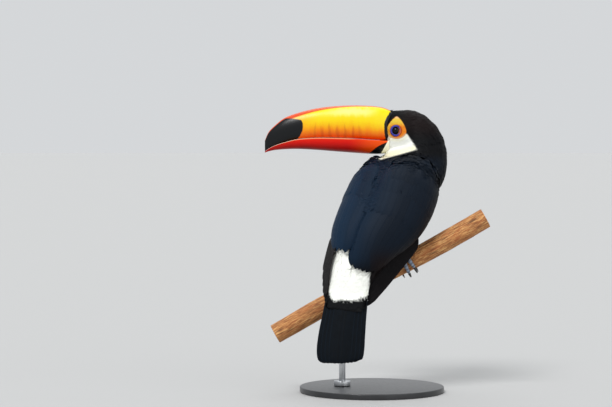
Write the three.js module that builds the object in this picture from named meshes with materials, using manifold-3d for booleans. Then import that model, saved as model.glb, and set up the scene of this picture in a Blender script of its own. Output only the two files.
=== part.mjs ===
// A life-size toco toucan, perched and looking back over its left shoulder, on a cut length of
// branch that a plain display stand holds up. Millimetres, +Z up. The origin is the middle of the
// stand's underside. The bird's back faces -Y, its head is turned so that the bill points to -X.
import * as THREE from "three";
import { mergeVertices } from "three/addons/utils/BufferGeometryUtils.js";
import Module from "manifold-3d";

const wasm = await Module();
wasm.setup();

// ---- Driving dimensions -------------------------------------------------------------------------

const GAP = 0.3; // between neighbouring solids

const BASE = { radius: 112, height: 9, bevel: 1.5 };
const ROD = { x: -46, radius: 5 };
const COLLAR = { radius: 13, height: 8 };

const PERCH = { radius: 15.2, left: -150, right: 176, heightAtOrigin: 172.9, slope: 0.554, bow: 3 };

// The trunk, from the tips of the tail coverts to the shoulders. Each station has its centre, the
// compass turn of the back (0 faces -Y, more turns it towards -X), and the half width and the
// depths above and below the centre.
const TRUNK = [
  { at: [-41.5, -70, 141], turn: 6, width: 24, above: 4, below: 6 },
  { at: [-38.5, -64, 161], turn: 8, width: 30, above: 12, below: 17 },
  { at: [-32, -53, 191], turn: 14, width: 37, above: 24, below: 33 },
  { at: [-11, -33, 231], turn: 26, width: 48, above: 38, below: 47 },
  { at: [18, -9, 273], turn: 33, width: 59, above: 45, below: 55 },
  { at: [38, 16, 312], turn: 36, width: 59, above: 46, below: 54 },
  { at: [50, 38, 342], turn: 30, width: 49, above: 39, below: 45 },
  { at: [60, 46, 362], turn: 24, width: 38, above: 28, below: 34 },
];

// The neck and head, from inside the shoulders, over the nape, to the root of the bill. The nape and
// crown are the upper side, and the throat is the lower one.
const HEAD_Y = 50; // how far back the head's middle plane lies
const NECK_AND_HEAD = [
  { at: [56, 34, 318], nape: [1, -0.3, 0], width: 44, above: 46, below: 42 },
  { at: [69, 43, 348], nape: [1, -0.1, 0], width: 41, above: 49, below: 42 },
  { at: [76, 48, 374], nape: [1, 0, 0.15], width: 37, above: 42.5, below: 39 },
  { at: [72, HEAD_Y, 393], nape: [0.8, 0, 0.7], width: 34, above: 36, below: 38 },
  { at: [58, HEAD_Y, 402], nape: [0.1, 0, 1], width: 32, above: 35.5, below: 38 },
  { at: [40, HEAD_Y, 403], nape: [0, 0, 1], width: 28, above: 34.5, below: 39 },
  { at: [20, HEAD_Y, 402], nape: [0, 0, 1], width: 22.5, above: 33, below: 37 },
  { at: [-4, HEAD_Y, 401], nape: [0, 0, 1], width: 17, above: 30, below: 34 },
];

// The bill: distance from its root, culmen and keel heights over the gape, the height of the line
// where the two halves meet, and half the width.
const BILL = { rootX: 21, gapeZ: 391, bowAt: 22, bowTop: 0.025, bowBottom: 0.006, keelBack: 7 };
const BILL_STATIONS = [
  { along: -4.5, culmen: 43, meeting: -1.2, keel: -20.7, width: 19.6 },
  { along: 18, culmen: 51.3, meeting: 0, keel: -22, width: 20.5 },
  { along: 47, culmen: 54, meeting: 2, keel: -20.3, width: 20 },
  { along: 77, culmen: 53.3, meeting: 3, keel: -18, width: 19 },
  { along: 107, culmen: 49.7, meeting: 3.2, keel: -15.6, width: 17.4 },
  { along: 136, culmen: 42.5, meeting: 1.2, keel: -14.2, width: 15 },
  { along: 157, culmen: 34.4, meeting: -3.8, keel: -14.7, width: 12 },
  { along: 172, culmen: 22.8, meeting: -8.8, keel: -16, width: 8.6 },
  { along: 182, culmen: 12.2, meeting: -13.8, keel: -18, width: 5.2 },
  { along: 188, culmen: -1, meeting: -18.2, keel: -20, width: 1.8 },
];

const EYE = { x: 38.2, z: 405.4, station: 0.74, radius: 6.3, proud: 1.3 };

// A folded wing lies on the trunk. Each station gives the place along the trunk (0 to 1), the angle
// round it of the wing's middle (90 is the spine, 0 the side), the half angle that it covers and how
// thick it is. The left wing is folded a little higher than the right.
const WING = [
  { along: 0.258, round: 64, half: 0, thick: 0 },
  { along: 0.27, round: 62, half: 18, thick: 4 },
  { along: 0.31, round: 55, half: 36, thick: 8 },
  { along: 0.38, round: 46, half: 47, thick: 11.5 },
  { along: 0.5, round: 37, half: 56, thick: 14 },
  { along: 0.63, round: 30, half: 59, thick: 15 },
  { along: 0.76, round: 25, half: 53, thick: 14 },
  { along: 0.85, round: 20, half: 36, thick: 10 },
  { along: 0.895, round: 18, half: 0, thick: 0 },
];
const LEFT_WING_RAISED = 0.06;
const WING_UNDER = 0.6; // how far a wing reaches into the trunk, as a share of its thickness
const WING_EDGE = 1.7; // how high the wing's edge stands over the trunk

// The blades of long flight feathers that show past each wing's round end, from inside the wing to
// the tip. Each station has its centre, the turn of its face, the half width and half thickness.
const FLIGHT_RIGHT = [
  { at: [48, -26, 262], turn: -18, width: 20, above: 5, below: 5 },
  { at: [40, -34, 232], turn: -16, width: 26, above: 5.5, below: 5.5 },
  { at: [27, -43, 204], turn: -14, width: 27, above: 5.5, below: 5.5 },
  { at: [14, -52, 180], turn: -12, width: 23.5, above: 5, below: 5 },
  { at: [2, -60, 157], turn: -10, width: 16, above: 4, below: 4 },
  { at: [-8, -67, 135], turn: -8, width: 3.5, above: 2.2, below: 2.2 },
];
const FLIGHT_LEFT = [
  { at: [-50, -24, 262], turn: 82, width: 20, above: 4.5, below: 4.5 },
  { at: [-60, -33, 232], turn: 82, width: 24, above: 4.5, below: 4.5 },
  { at: [-67, -42, 204], turn: 82, width: 22, above: 4.2, below: 4.2 },
  { at: [-70.5, -50, 180], turn: 82, width: 17, above: 3.8, below: 3.8 },
  { at: [-72.5, -57, 160], turn: 82, width: 11, above: 3.2, below: 3.2 },
  { at: [-73, -63, 143], turn: 82, width: 4, above: 2, below: 2 },
];

// The tail's middle line, from inside the rump to its tip, with half widths and half thickness.
const TAIL = [
  { at: [-36, -60, 180], turn: 10, width: 24, above: 5, below: 5 },
  { at: [-40, -67, 154], turn: 8, width: 30, above: 4.5, below: 4.5 },
  { at: [-44.5, -75, 124], turn: 6, width: 32.5, above: 3.6, below: 3.6 },
  { at: [-48.5, -82, 94], turn: 4, width: 35, above: 3, below: 3 },
  { at: [-51, -88, 65], turn: 2, width: 35.5, above: 2.2, below: 2.2 },
  { at: [-51, -90, 53], turn: 2, width: 28, above: 1.4, below: 1.4 },
];
const TAIL_ROOF = 5; // how far the tail's sides hang below its middle

const FOOT = { hub: 6.2, toe: 3.4, toeEnd: 2.7, shin: 4, ankle: 4.5 };
// Where each foot stands along the perch, then where its ankle and its knee are.
const LEGS = [
  { name: "left", stands: -4, ankle: [2, 5, 230], knee: [-5, 36, 256] },
  { name: "right", stands: 52, ankle: [52, 3, 248], knee: [56, 20, 268] },
];
const THIGH = { ankle: 9, knee: 24 };
// Each toe: which side of the perch it goes down, how far it spreads along it, and how far round.
const TOES = [
  { name: "inner_front", side: 1, spread: -11, round: 118 },
  { name: "outer_front", side: 1, spread: 9, round: 126 },
  { name: "inner_rear", side: -1, spread: -3, round: 146 },
  { name: "outer_rear", side: -1, spread: 7, round: 128 },
];
const CLAW = { length: 12, radius: 2.3, tip: 0.35, lift: [3.8, 6.2, 8, 7.5] };

// ---- Helpers ------------------------------------------------------------------------------------

const radians = THREE.MathUtils.degToRad;
const vector = (list) => new THREE.Vector3(...list);

/** A smooth path through one vector for each station; every path of one list shares its parameter. */
function through(stations, pick) {
  return new THREE.CatmullRomCurve3(stations.map((s) => vector(pick(s))), false, "catmullrom", 0.5);
}

/** A unit sphere's grid, moved point by point: place(t, angle) gives the point at row t, 0 to 1. */
function shaped(sides, rows, place) {
  const geometry = new THREE.SphereGeometry(1, sides, rows);
  const { position, uv } = geometry.attributes;
  for (let i = 0; i < position.count; i++) {
    const row = Math.round((1 - uv.getY(i)) * rows);
    const t = 0.5 - 0.5 * Math.cos((Math.PI * row) / rows);
    const column = Math.round(uv.getX(i) * sides - (row % rows ? 0 : 0.5)) % sides;
    const p = place(t, (2 * Math.PI * column) / sides);
    position.setXYZ(i, p.x, p.y, p.z);
  }
  return geometry;
}

/** How much of a ring is left near the two ends, so that a loft closes in a dome. */
function closing(t, share) {
  const near = Math.min(t, 1 - t) / share;
  return near >= 1 ? 1 : Math.sqrt(1 - (1 - near) ** 2);
}

/** The frame of a body that runs along stations: its centre, directions and half sizes at t. */
function spine(stations, backOf) {
  const centres = through(stations, (s) => s.at);
  const sizes = through(stations, (s) => [s.width, s.above, s.below]);
  const backs = through(stations, backOf);
  return (t) => {
    const centre = centres.getPoint(t);
    const along = centres.getTangent(t);
    const back = backs.getPoint(t);
    back.addScaledVector(along, -back.dot(along)).normalize();
    const side = new THREE.Vector3().crossVectors(along, back);
    const size = sizes.getPoint(t);
    return { centre, back, side, width: size.x, above: size.y, below: size.z };
  };
}

/** Where the back of a turned station points. */
function backOfTurn(s) {
  return [-Math.sin(radians(s.turn)), -Math.cos(radians(s.turn)), 0.35];
}

/** A point on a spine's surface, out from it by height. Angle 0 is the right side, 90 degrees the back. */
function onSpine(frame, t, angle, height = 0, scale = 1) {
  const f = frame(t);
  const deep = Math.sin(angle) > 0 ? f.above : f.below;
  return f.centre
    .addScaledVector(f.side, (f.width * scale + height) * Math.cos(angle))
    .addScaledVector(f.back, (deep * scale + height) * Math.sin(angle));
}

/** A geometry as a manifold solid. */
function solid(geometry) {
  const bare = geometry.clone();
  bare.deleteAttribute("normal");
  bare.deleteAttribute("uv");
  const merged = mergeVertices(bare, 1e-4);
  return new wasm.Manifold(
    new wasm.Mesh({
      numProp: 3,
      vertProperties: merged.attributes.position.array,
      triVerts: new Uint32Array(merged.index.array),
    }),
  );
}

/** The largest body of a solid, so that a cut leaves no slivers. */
function largest(cut) {
  return cut.decompose().reduce((a, b) => (a.volume() > b.volume() ? a : b));
}

/** A solid less each of the others. */
function less(whole, ...others) {
  return largest(others.reduce((left, other) => left.subtract(other), whole));
}

/** A tube with rounded ends along points, whose radius goes from one value to another. */
function taper(points, from, to, sides = 8, rows = 9) {
  const path = new THREE.CatmullRomCurve3(points);
  const frames = path.computeFrenetFrames(rows * 4);
  return solid(
    shaped(sides, rows, (t, angle) => {
      const i = Math.round(t * rows * 4);
      const r = THREE.MathUtils.lerp(from, to, t) * closing(t, 0.12);
      return path
        .getPoint(i / (rows * 4))
        .addScaledVector(frames.normals[i], r * Math.cos(angle))
        .addScaledVector(frames.binormals[i], -r * Math.sin(angle));
    }),
  );
}

const toucan = new THREE.Group();

/** Adds one named solid to the model. */
function add(name, body, material) {
  const mesh = body.getMesh();
  const geometry = new THREE.BufferGeometry()
    .setAttribute("position", new THREE.BufferAttribute(mesh.vertProperties, 3))
    .setIndex(new THREE.BufferAttribute(mesh.triVerts, 1));
  geometry.computeVertexNormals();
  const made = new THREE.Mesh(geometry, material);
  made.name = name;
  toucan.add(made);
}

// ---- Materials ----------------------------------------------------------------------------------

const finish = (color, roughness, metalness = 0) =>
  new THREE.MeshStandardMaterial({ color, roughness, metalness });
const BLACK_FEATHER = finish(0x14161d, 0.65);
const DARK_FEATHER = finish(0x1c1614, 0.7);
const BILL_ORANGE = finish(0xf58a12, 0.3);
const BILL_RED = finish(0xd8401a, 0.3);
const EYE_DARK = finish(0x0a0808, 0.08);
const LEG_BLUE = finish(0x7f8fa6, 0.55);
const HORN = finish(0x121212, 0.35);
const BARK = finish(0x7a4a2a, 0.9);
const STAND_BLACK = finish(0x202224, 0.45);
const STEEL = finish(0xb4b8bc, 0.3, 1);

// ---- Perch and stand ----------------------------------------------------------------------------

const perchUp = new THREE.Vector3(-PERCH.slope, 0, 1).normalize();
const forward = new THREE.Vector3(0, 1, 0);

/** The middle of the perch at x. */
function perchAt(x) {
  const share = (x - PERCH.left) / (PERCH.right - PERCH.left);
  const rise = 0.5 * PERCH.bow * Math.sin(2 * Math.PI * share);
  return new THREE.Vector3(x, 0, PERCH.heightAtOrigin + PERCH.slope * x).addScaledVector(perchUp, rise);
}

function perch(grow = 0, sides = 16, rows = 12) {
  return solid(
    shaped(sides, rows, (t, angle) => {
      const inner = THREE.MathUtils.clamp((t - 0.01) / 0.98, 0, 1);
      const x = THREE.MathUtils.lerp(PERCH.left - grow, PERCH.right + grow, inner);
      const r = t === 0 || t === 1 ? 0 : PERCH.radius + grow + 0.5 * Math.sin(9 * inner);
      return perchAt(x)
        .addScaledVector(perchUp, r * Math.cos(angle))
        .addScaledVector(forward, r * Math.sin(angle));
    }),
  );
}

function standBase() {
  const { radius, height, bevel } = BASE;
  const outline = [
    [0, 0],
    [radius, 0],
    [radius, height - bevel],
    [radius - bevel, height],
    [0, height],
  ].map(([x, y]) => new THREE.Vector2(x, y));
  return solid(new THREE.LatheGeometry(outline, 48).rotateX(Math.PI / 2));
}

function upright(radius, from, to, sides = 20) {
  const geometry = new THREE.CylinderGeometry(radius, radius, to - from, sides).rotateX(Math.PI / 2);
  return solid(geometry.translate(ROD.x, 0, (from + to) / 2));
}

function addStand() {
  const branch = perch();
  const branchGrown = perch(GAP);
  add("perch", branch, BARK);
  add("stand_base", standBase(), STAND_BLACK);
  const bottom = BASE.height + GAP;
  const rod = less(upright(ROD.radius, bottom, perchAt(ROD.x).z), branchGrown);
  const collar = upright(COLLAR.radius, bottom, bottom + COLLAR.height, 28);
  add("stand_rod", rod, STEEL);
  add("stand_collar", less(collar, upright(ROD.radius + GAP, 0, 400)), STEEL);
}

// ---- Body ---------------------------------------------------------------------------------------

const trunkFrame = spine(TRUNK, backOfTurn);
const headFrame = spine(NECK_AND_HEAD, (s) => s.nape);
const tailFrame = spine(TAIL, backOfTurn);

function trunk(grow = 0, sides = 22, rows = 20) {
  const place = (t, angle) => {
    const open = closing(t, 0.06);
    return onSpine(trunkFrame, t, angle, grow * open, open);
  };
  return solid(shaped(sides, rows, place));
}

function neckAndHead(sides = 20, rows = 22) {
  return solid(shaped(sides, rows, (t, angle) => onSpine(headFrame, t, angle, 0, closing(t, 0.09))));
}

/** A folded wing on the trunk: side 1 is the bird's right, -1 its left. */
function wing(side, grow = 0, sides = 16, rows = 14) {
  const places = through(WING, (s) => [s.along, s.round, s.half]);
  const thickness = through(WING, (s) => [s.thick, 0, 0]);
  return solid(
    shaped(sides, rows, (t, angle) => {
      const { x, y: round, z: half } = places.getPoint(t);
      const raised = side < 0 ? (LEFT_WING_RAISED * (1 - x)) / (1 - WING[0].along) : 0;
      const along = x + raised + (t - 0.5) * 0.03 * grow;
      const spread = half > 0.01 ? half + 1.5 * grow : 0;
      const across = round + spread * Math.cos(angle);
      const turned = side > 0 ? across : 180 - across;
      const up = -Math.sin(angle) * side;
      const lift = Math.abs(up) ** 0.7 * Math.max(thickness.getPoint(t).x, 0);
      const height = WING_EDGE + (up > 0 ? lift : -WING_UNDER * lift) + grow;
      return onSpine(trunkFrame, along, radians(turned), height);
    }),
  );
}

function tail(grow = 0, sides = 16, rows = 12) {
  return solid(
    shaped(sides, rows, (t, angle) => {
      const open = closing(t, 0.03);
      const p = onSpine(tailFrame, t, angle, grow * open, open);
      const across = Math.cos(angle) * open;
      return p.addScaledVector(tailFrame(t).back, -TAIL_ROOF * across ** 2);
    }),
  );
}

/** A flat blade with rounded edges through stations. */
function blade(stations, grow = 0, sides = 10, rows = 10) {
  const frame = spine(stations, backOfTurn);
  const place = (t, angle) => {
    const open = closing(t, 0.04);
    return onSpine(frame, t, angle, grow * open, open);
  };
  return solid(shaped(sides, rows, place));
}

/** The bill's outline at distance share t: its place, heights and width. */
function billFrame() {
  const outline = through(BILL_STATIONS, (s) => [s.culmen, s.meeting, s.keel]);
  const reach = through(BILL_STATIONS, (s) => [s.along, s.width, 0]);
  return (t) => {
    const { x: culmen, y: meeting, z: keel } = outline.getPoint(t);
    const { x: along, y: width } = reach.getPoint(t);
    return { culmen, meeting, keel, along, width };
  };
}
const billAt = billFrame();
const BILL_ROOM = 9; // how far round the bill's root the head is cut away
const UPPER_BULGE = 0.25; // how high up the upper half is widest, as a share of its height

/** One half of the bill: upper with its arched culmen, lower with its keel. */
function billHalf(upper, grow = 0, sides = 16, rows = 16) {
  return solid(
    shaped(sides, rows, (t, angle) => {
      const { culmen, meeting, keel, along, width } = billAt(t);
      const end = t === 0 || t === 1 ? 0 : 1;
      const edge = meeting + (upper ? GAP / 2 : -GAP / 2);
      const far = upper ? culmen : keel;
      const widest = upper ? edge + UPPER_BULGE * (far - edge) : edge;
      const s = Math.sin(angle);
      const c = Math.cos(angle);
      const flank = Math.sign(c) * Math.abs(c) ** (upper && s < 0 ? 0.35 : 0.8);
      const rise = s > 0 ? (far - widest) * s ** 0.9 : (widest - edge) * s;
      const middle = (far + edge) / 2;
      const z = end ? widest + rise + Math.sign(far - edge) * s * grow : middle;
      const y = end * (width + grow) * flank * (s < 0 && upper ? 1 + 0.06 * s : 1);
      const bow = (z > BILL.bowAt ? BILL.bowTop : BILL.bowBottom) * (z - BILL.bowAt) ** 2;
      const sweep = (upper ? bow : bow - (BILL.keelBack * (z - meeting)) / keel) * (1 - t) ** 4;
      const x = BILL.rootX + sweep - along;
      return new THREE.Vector3(x, HEAD_Y + (upper ? y : -y), BILL.gapeZ + z);
    }),
  );
}

/** Half of space beyond a plane through a point, as a large block. */
function beyond(point, normal) {
  const size = 600;
  const block = new THREE.BoxGeometry(size, size, size).translate(0, 0, size / 2);
  const up = new THREE.Vector3(0, 0, 1);
  const turn = new THREE.Quaternion().setFromUnitVectors(up, normal.clone().normalize());
  return solid(block.applyQuaternion(turn).translate(point.x, point.y, point.z));
}

const eyeCentre = (side) => {
  const f = headFrame(EYE.station);
  return new THREE.Vector3(EYE.x, HEAD_Y + side * (f.width - EYE.radius + EYE.proud), EYE.z);
};
function eye(side, grow = 0) {
  const c = eyeCentre(side);
  return solid(new THREE.SphereGeometry(EYE.radius + grow, 14, 9).translate(c.x, c.y, c.z));
}

function addBody() {
  const trunkWhole = trunk();
  const flesh = trunkWhole.add(neckAndHead());
  const shoulder = new THREE.Vector3(56, 36, 341);
  const shoulderUp = new THREE.Vector3(0.35, 0.25, 0.9);
  const nape = new THREE.Vector3(76, 50, 377);
  const napeUp = new THREE.Vector3(-0.35, 0, 0.94);
  const step = (p, n) => p.clone().addScaledVector(n.clone().normalize(), GAP);
  const aboveShoulder = beyond(shoulder, shoulderUp);
  const pastShoulder = beyond(step(shoulder, shoulderUp), shoulderUp);
  const aboveNape = beyond(nape, napeUp);
  const upperBill = billHalf(true);
  const lowerBill = billHalf(false);
  const billRoot = billHalf(true, BILL_ROOM).add(billHalf(false, BILL_ROOM)).translate([GAP, 0, 0]);
  const branch = perch(GAP);
  const trunkBody = less(flesh, aboveShoulder, branch);
  const pastNape = beyond(step(nape, napeUp), napeUp);
  const neck = less(flesh.intersect(pastShoulder), aboveNape, billRoot);
  const head = less(flesh.intersect(pastNape).intersect(pastShoulder), billRoot, eye(1, GAP), eye(-1, GAP));
  add("trunk", trunkBody, BLACK_FEATHER);
  add("neck", neck, BLACK_FEATHER);
  add("head", head, BLACK_FEATHER);
  add("bill_upper", upperBill, BILL_ORANGE);
  add("bill_lower", lowerBill, BILL_RED);
  add("eye_left", eye(-1), EYE_DARK);
  add("eye_right", eye(1), EYE_DARK);
  return trunk(GAP).add(neckAndHead());
}

function addWingsAndTail(body) {
  const branch = perch(GAP);
  const tailGrown = tail(GAP);
  const rightGrown = wing(1, GAP);
  const leftGrown = wing(-1, GAP);
  add("wing_right", less(wing(1), body, branch), BLACK_FEATHER);
  add("wing_left", less(wing(-1), body, rightGrown, branch), BLACK_FEATHER);
  const covers = [body, leftGrown, rightGrown, tailGrown, branch];
  add("flight_feathers_right", less(blade(FLIGHT_RIGHT), ...covers), DARK_FEATHER);
  add("flight_feathers_left", less(blade(FLIGHT_LEFT), ...covers), DARK_FEATHER);
  add("tail", less(tail(), body, branch), DARK_FEATHER);
  return [body, leftGrown, rightGrown, blade(FLIGHT_RIGHT, GAP), blade(FLIGHT_LEFT, GAP)];
}

// ---- Legs ---------------------------------------------------------------------------------------

/** A point round the perch at x: angle 0 is its top, and side says which way down. */
function roundPerch(x, angle, side, out) {
  return perchAt(x)
    .addScaledVector(perchUp, Math.cos(radians(angle)) * (PERCH.radius + out))
    .addScaledVector(forward, side * Math.sin(radians(angle)) * (PERCH.radius + out));
}

function toe(x, { side, spread, round }) {
  const points = [0, 0.25, 0.5, 0.75, 1].map((s) =>
    roundPerch(x + spread * s ** 0.6, 4 + s * (round - 4), side, FOOT.toe + 0.9 - 0.4 * s),
  );
  return taper(points, FOOT.toe, FOOT.toeEnd, 6, 7);
}

function claw(x, { side, spread, round }) {
  const turn = (CLAW.length / PERCH.radius) * (180 / Math.PI);
  const points = CLAW.lift.map((out, i) => roundPerch(x + spread, round - 6 + (turn * i) / 3, side, out));
  return taper(points, CLAW.radius, CLAW.tip, 6, 6);
}

function addLeg({ name, stands, ankle, knee }, covers) {
  const hubAt = roundPerch(stands, 0, 1, FOOT.hub * 0.75 + 1);
  const ankleAt = vector(ankle);
  const branch = perch(GAP);
  const hub = solid(new THREE.SphereGeometry(FOOT.hub, 8, 6).scale(1, 0.9, 0.75).translate(...hubAt));
  const shin = taper([hubAt, hubAt.clone().lerp(ankleAt, 0.5), ankleAt], FOOT.shin, FOOT.ankle, 8, 6);
  const drumstick = [ankleAt.clone().lerp(hubAt, 0.35), ankleAt, vector(knee)];
  const thigh = taper(drumstick, THIGH.ankle, THIGH.knee, 14, 10);
  const thighGrown = taper(drumstick, THIGH.ankle + GAP, THIGH.knee + GAP, 14, 10);
  const foot = TOES.reduce((sum, t) => sum.add(toe(stands, t)), hub);
  add(`thigh_${name}`, less(thigh, ...covers, branch), BLACK_FEATHER);
  add(`leg_${name}`, less(foot.add(shin), ...covers, thighGrown, branch), LEG_BLUE);
  TOES.forEach((t) => add(`claw_${name}_${t.name}`, less(claw(stands, t), branch, foot), HORN));
}

addStand();
const body = addBody();
const covers = addWingsAndTail(body);
LEGS.forEach((leg) => addLeg(leg, covers));

export default toucan;
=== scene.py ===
"""The looks of a life-size toco toucan on a perch: skin, feathers, bill, eyes, feet, bark and stand."""

import logging
import math
from dataclasses import dataclass, field
from enum import Enum
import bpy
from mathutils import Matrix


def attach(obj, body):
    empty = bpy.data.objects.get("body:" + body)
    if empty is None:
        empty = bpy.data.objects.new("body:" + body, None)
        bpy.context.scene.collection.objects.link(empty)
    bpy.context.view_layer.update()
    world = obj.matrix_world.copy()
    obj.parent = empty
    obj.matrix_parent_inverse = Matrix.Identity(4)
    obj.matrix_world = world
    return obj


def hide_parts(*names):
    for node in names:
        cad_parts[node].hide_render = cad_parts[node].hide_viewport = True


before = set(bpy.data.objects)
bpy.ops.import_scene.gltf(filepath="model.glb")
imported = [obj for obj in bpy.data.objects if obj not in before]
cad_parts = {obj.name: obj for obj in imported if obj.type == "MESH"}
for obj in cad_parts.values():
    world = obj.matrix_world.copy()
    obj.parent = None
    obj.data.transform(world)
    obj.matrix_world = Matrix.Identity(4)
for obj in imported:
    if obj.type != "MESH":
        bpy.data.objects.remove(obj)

from types import MappingProxyType
from typing import Callable, Mapping

import bmesh
import bpy
import numpy as np
from bmesh.types import BMesh, BMFace
from bpy.types import Material, Mesh, Node, NodeSocket, NodeTree, Object
from mathutils import Vector
from mathutils.bvhtree import BVHTree
from mathutils.noise import noise as perlin

LOG = logging.getLogger("toucan")
MM = 0.001
BODY = "root"
SEED = 7
MAP = "OFBake"
SIDES = (-1, 1)  # the bird's left and right
TINY = 1e-6
BACK_RISE = 0.35  # how far the bird's back faces up, against its turn
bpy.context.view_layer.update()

Array = np.ndarray
RGB = tuple[float, float, float]
Surface = Callable[[Array, Array], Array]  # points or numbers for t and angle
Rail = Callable[[Array], tuple[Array, Array, Array]]  # middle, side and upper direction at t


# ---- Curves and surfaces ------------------------------------------------------------------------


class Curve:
    """A smooth curve through equally spaced rows of values."""

    def __init__(self, rows: list) -> None:
        """Args: rows: one list of numbers for each station."""
        points = np.array(rows, float)
        first = 2 * points[0] - points[1]
        last = 2 * points[-1] - points[-2]
        self.points = np.vstack([first, points, last])

    def at(self, t: Array | float) -> Array:
        """Value at t.

        Args:
            t: place along the curve, 0 to 1.

        Returns:
            One row of values for each t.
        """
        spans = len(self.points) - 3
        place = np.clip(np.asarray(t, float), 0, 1) * spans
        i = np.minimum(place.astype(int), spans - 1)
        w = (place - i)[..., None]
        p0, p1, p2, p3 = (self.points[i + k] for k in range(4))
        m1, m2 = (p2 - p0) / 2, (p3 - p1) / 2
        a = 2 * p1 - 2 * p2 + m1 + m2
        b = -3 * p1 + 3 * p2 - 2 * m1 - m2
        return a * w**3 + b * w**2 + m1 * w + p1

    def along(self, t: Array | float) -> Array:
        """Unit direction of the curve's first three values at t."""
        t = np.asarray(t, float)
        step = 1e-3
        ahead = self.at(np.clip(t + step, 0, 1))[..., :3]
        return unit(ahead - self.at(np.clip(t - step, 0, 1))[..., :3])


def unit(v: Array) -> Array:
    """Vectors of length one."""
    return v / np.maximum(np.linalg.norm(v, axis=-1, keepdims=True), 1e-12)


def laid(way: Array, n: Array) -> Array:
    """Directions laid on a surface with normals n."""
    return unit(way - n * (way * n).sum(-1, keepdims=True))


def rise(low: float, high: float, x: Array) -> Array:
    """0 below low, 1 above high, and smooth between."""
    w = np.clip((np.asarray(x, float) - low) / (high - low), 0, 1)
    return w * w * (3 - 2 * w)


def fall(low: float, high: float, x: Array) -> Array:
    """1 below low, 0 above high, and smooth between."""
    return 1 - rise(low, high, x)


def pyramid(values: Array, low: float, peak: float, high: float) -> Array:
    """A smooth bump of height 1 at peak, 0 outside low to high."""
    return rise(low, peak, values) * fall(peak, high, values)


class Spine:
    """A body of elliptic sections along a curve, in millimetres."""

    def __init__(self, *stations: tuple[float, ...]) -> None:
        """Args: stations: x, y, z, half width, depth above and below, and the back's turn, or None for up."""
        self.line = Curve([s[:3] for s in stations])
        self.size = Curve([s[3:6] for s in stations])
        self.backs = Curve([(0, 0, 1) if s[6] is None else turned(s[6]) for s in stations])

    def frame(self, t: Array) -> tuple[Array, Array, Array, Array]:
        """Centre, side direction, upper direction and sizes at t."""
        centre, along = self.line.at(t), self.line.along(t)
        back = laid(self.backs.at(t), along)
        return centre, np.cross(along, back), back, self.size.at(t)

    def surface(self, t: Array, angle: Array, height: Array | float = 0.0) -> Array:
        """Points on the body.

        Args:
            t: place along the body.
            angle: radians round it, 0 at its side and a quarter turn at its upper side.
            height: how far out from the surface.

        Returns:
            One point for each t and angle.
        """
        centre, side, back, size = self.frame(t)
        deep = np.where(np.sin(angle) > 0, size[..., 1], size[..., 2])
        out_side = ((size[..., 0] + height) * np.cos(angle))[..., None] * side
        return centre + out_side + ((deep + height) * np.sin(angle))[..., None] * back


def turned(turn: float) -> list[float]:
    """Where the back of a station points, for its turn in degrees."""
    return [-math.sin(math.radians(turn)), -math.cos(math.radians(turn)), BACK_RISE]


# The bird's own lines, as its solids have them: x, y, z, half width, above, below and turn.
TRUNK = Spine(
    (-41.5, -70, 141, 24, 4, 6, 6),
    (-38.5, -64, 161, 30, 12, 17, 8),
    (-32, -53, 191, 37, 24, 33, 14),
    (-11, -33, 231, 48, 38, 47, 26),
    (18, -9, 273, 59, 45, 55, 33),
    (38, 16, 312, 59, 46, 54, 36),
    (50, 38, 342, 49, 39, 45, 30),
    (60, 46, 362, 38, 28, 34, 24),
)
TAIL = Spine(
    (-36, -60, 180, 24, 5, 5, 10),
    (-40, -67, 154, 30, 4.5, 4.5, 8),
    (-44.5, -75, 124, 32.5, 3.6, 3.6, 6),
    (-48.5, -82, 94, 35, 3, 3, 4),
    (-51, -88, 65, 35.5, 2.2, 2.2, 2),
    (-51, -90, 53, 28, 1.4, 1.4, 2),
)
TAIL_ROOF = 5.0
FLIGHT_LEFT = Spine(
    (-50, -24, 262, 20, 4.5, 4.5, 82),
    (-60, -33, 232, 24, 4.5, 4.5, 82),
    (-67, -42, 204, 22, 4.2, 4.2, 82),
    (-70.5, -50, 180, 17, 3.8, 3.8, 82),
    (-72.5, -57, 160, 11, 3.2, 3.2, 82),
    (-73, -63, 143, 4, 2, 2, 82),
)
# The neck's and head's middle line, from inside the shoulders to the root of the bill.
HEAD_LINE = Curve(
    [(56, 34, 318), (69, 43, 348), (76, 48, 374), (72, 50, 393), (58, 50, 402), (40, 50, 403), (20, 50, 402)]
)
HEAD_Y = 50.0
# The middle of the white bib, from the chin down the breast.
BIB_LINE = Curve([(30, 56, 365), (35, 72, 357), (46, 86, 344), (68, 92, 326), (70, 84, 306)])
# A folded wing on the trunk: along it, round it, half the angle it covers, and thickness.
WING_STATIONS = Curve(
    [
        (0.258, 64, 0, 0),
        (0.27, 62, 18, 4),
        (0.31, 55, 36, 8),
        (0.38, 46, 47, 11.5),
        (0.5, 37, 56, 14),
        (0.63, 30, 59, 15),
        (0.76, 25, 53, 14),
        (0.85, 20, 36, 10),
        (0.895, 18, 0, 0),
    ]
)
WING_FIRST = 0.258
LEFT_WING_RAISED = 0.06
WING_TOP = 372.0
WING_EDGE = 1.7
EYE_X, EYE_Z, EYE_OUT, EYE_RADIUS = 38.2, 405.4, 22.1, 6.3
BILL_ROOT_X, GAPE_Z = 21.0, 391.0
# The bill: distance from its root, heights of culmen, meeting line and keel, and half width.
BILL_STATIONS = Curve(
    [
        (-4.5, 43, -1.2, -20.7, 19.6),
        (18, 51.3, 0, -22, 20.5),
        (47, 54, 2, -20.3, 20),
        (77, 53.3, 3, -18, 19),
        (107, 49.7, 3.2, -15.6, 17.4),
        (136, 42.5, 1.2, -14.2, 15),
        (157, 34.4, -3.8, -14.7, 12),
        (172, 22.8, -8.8, -16, 8.6),
        (182, 12.2, -13.8, -18, 5.2),
        (188, -1, -18.2, -20, 1.8),
    ]
)
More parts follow.
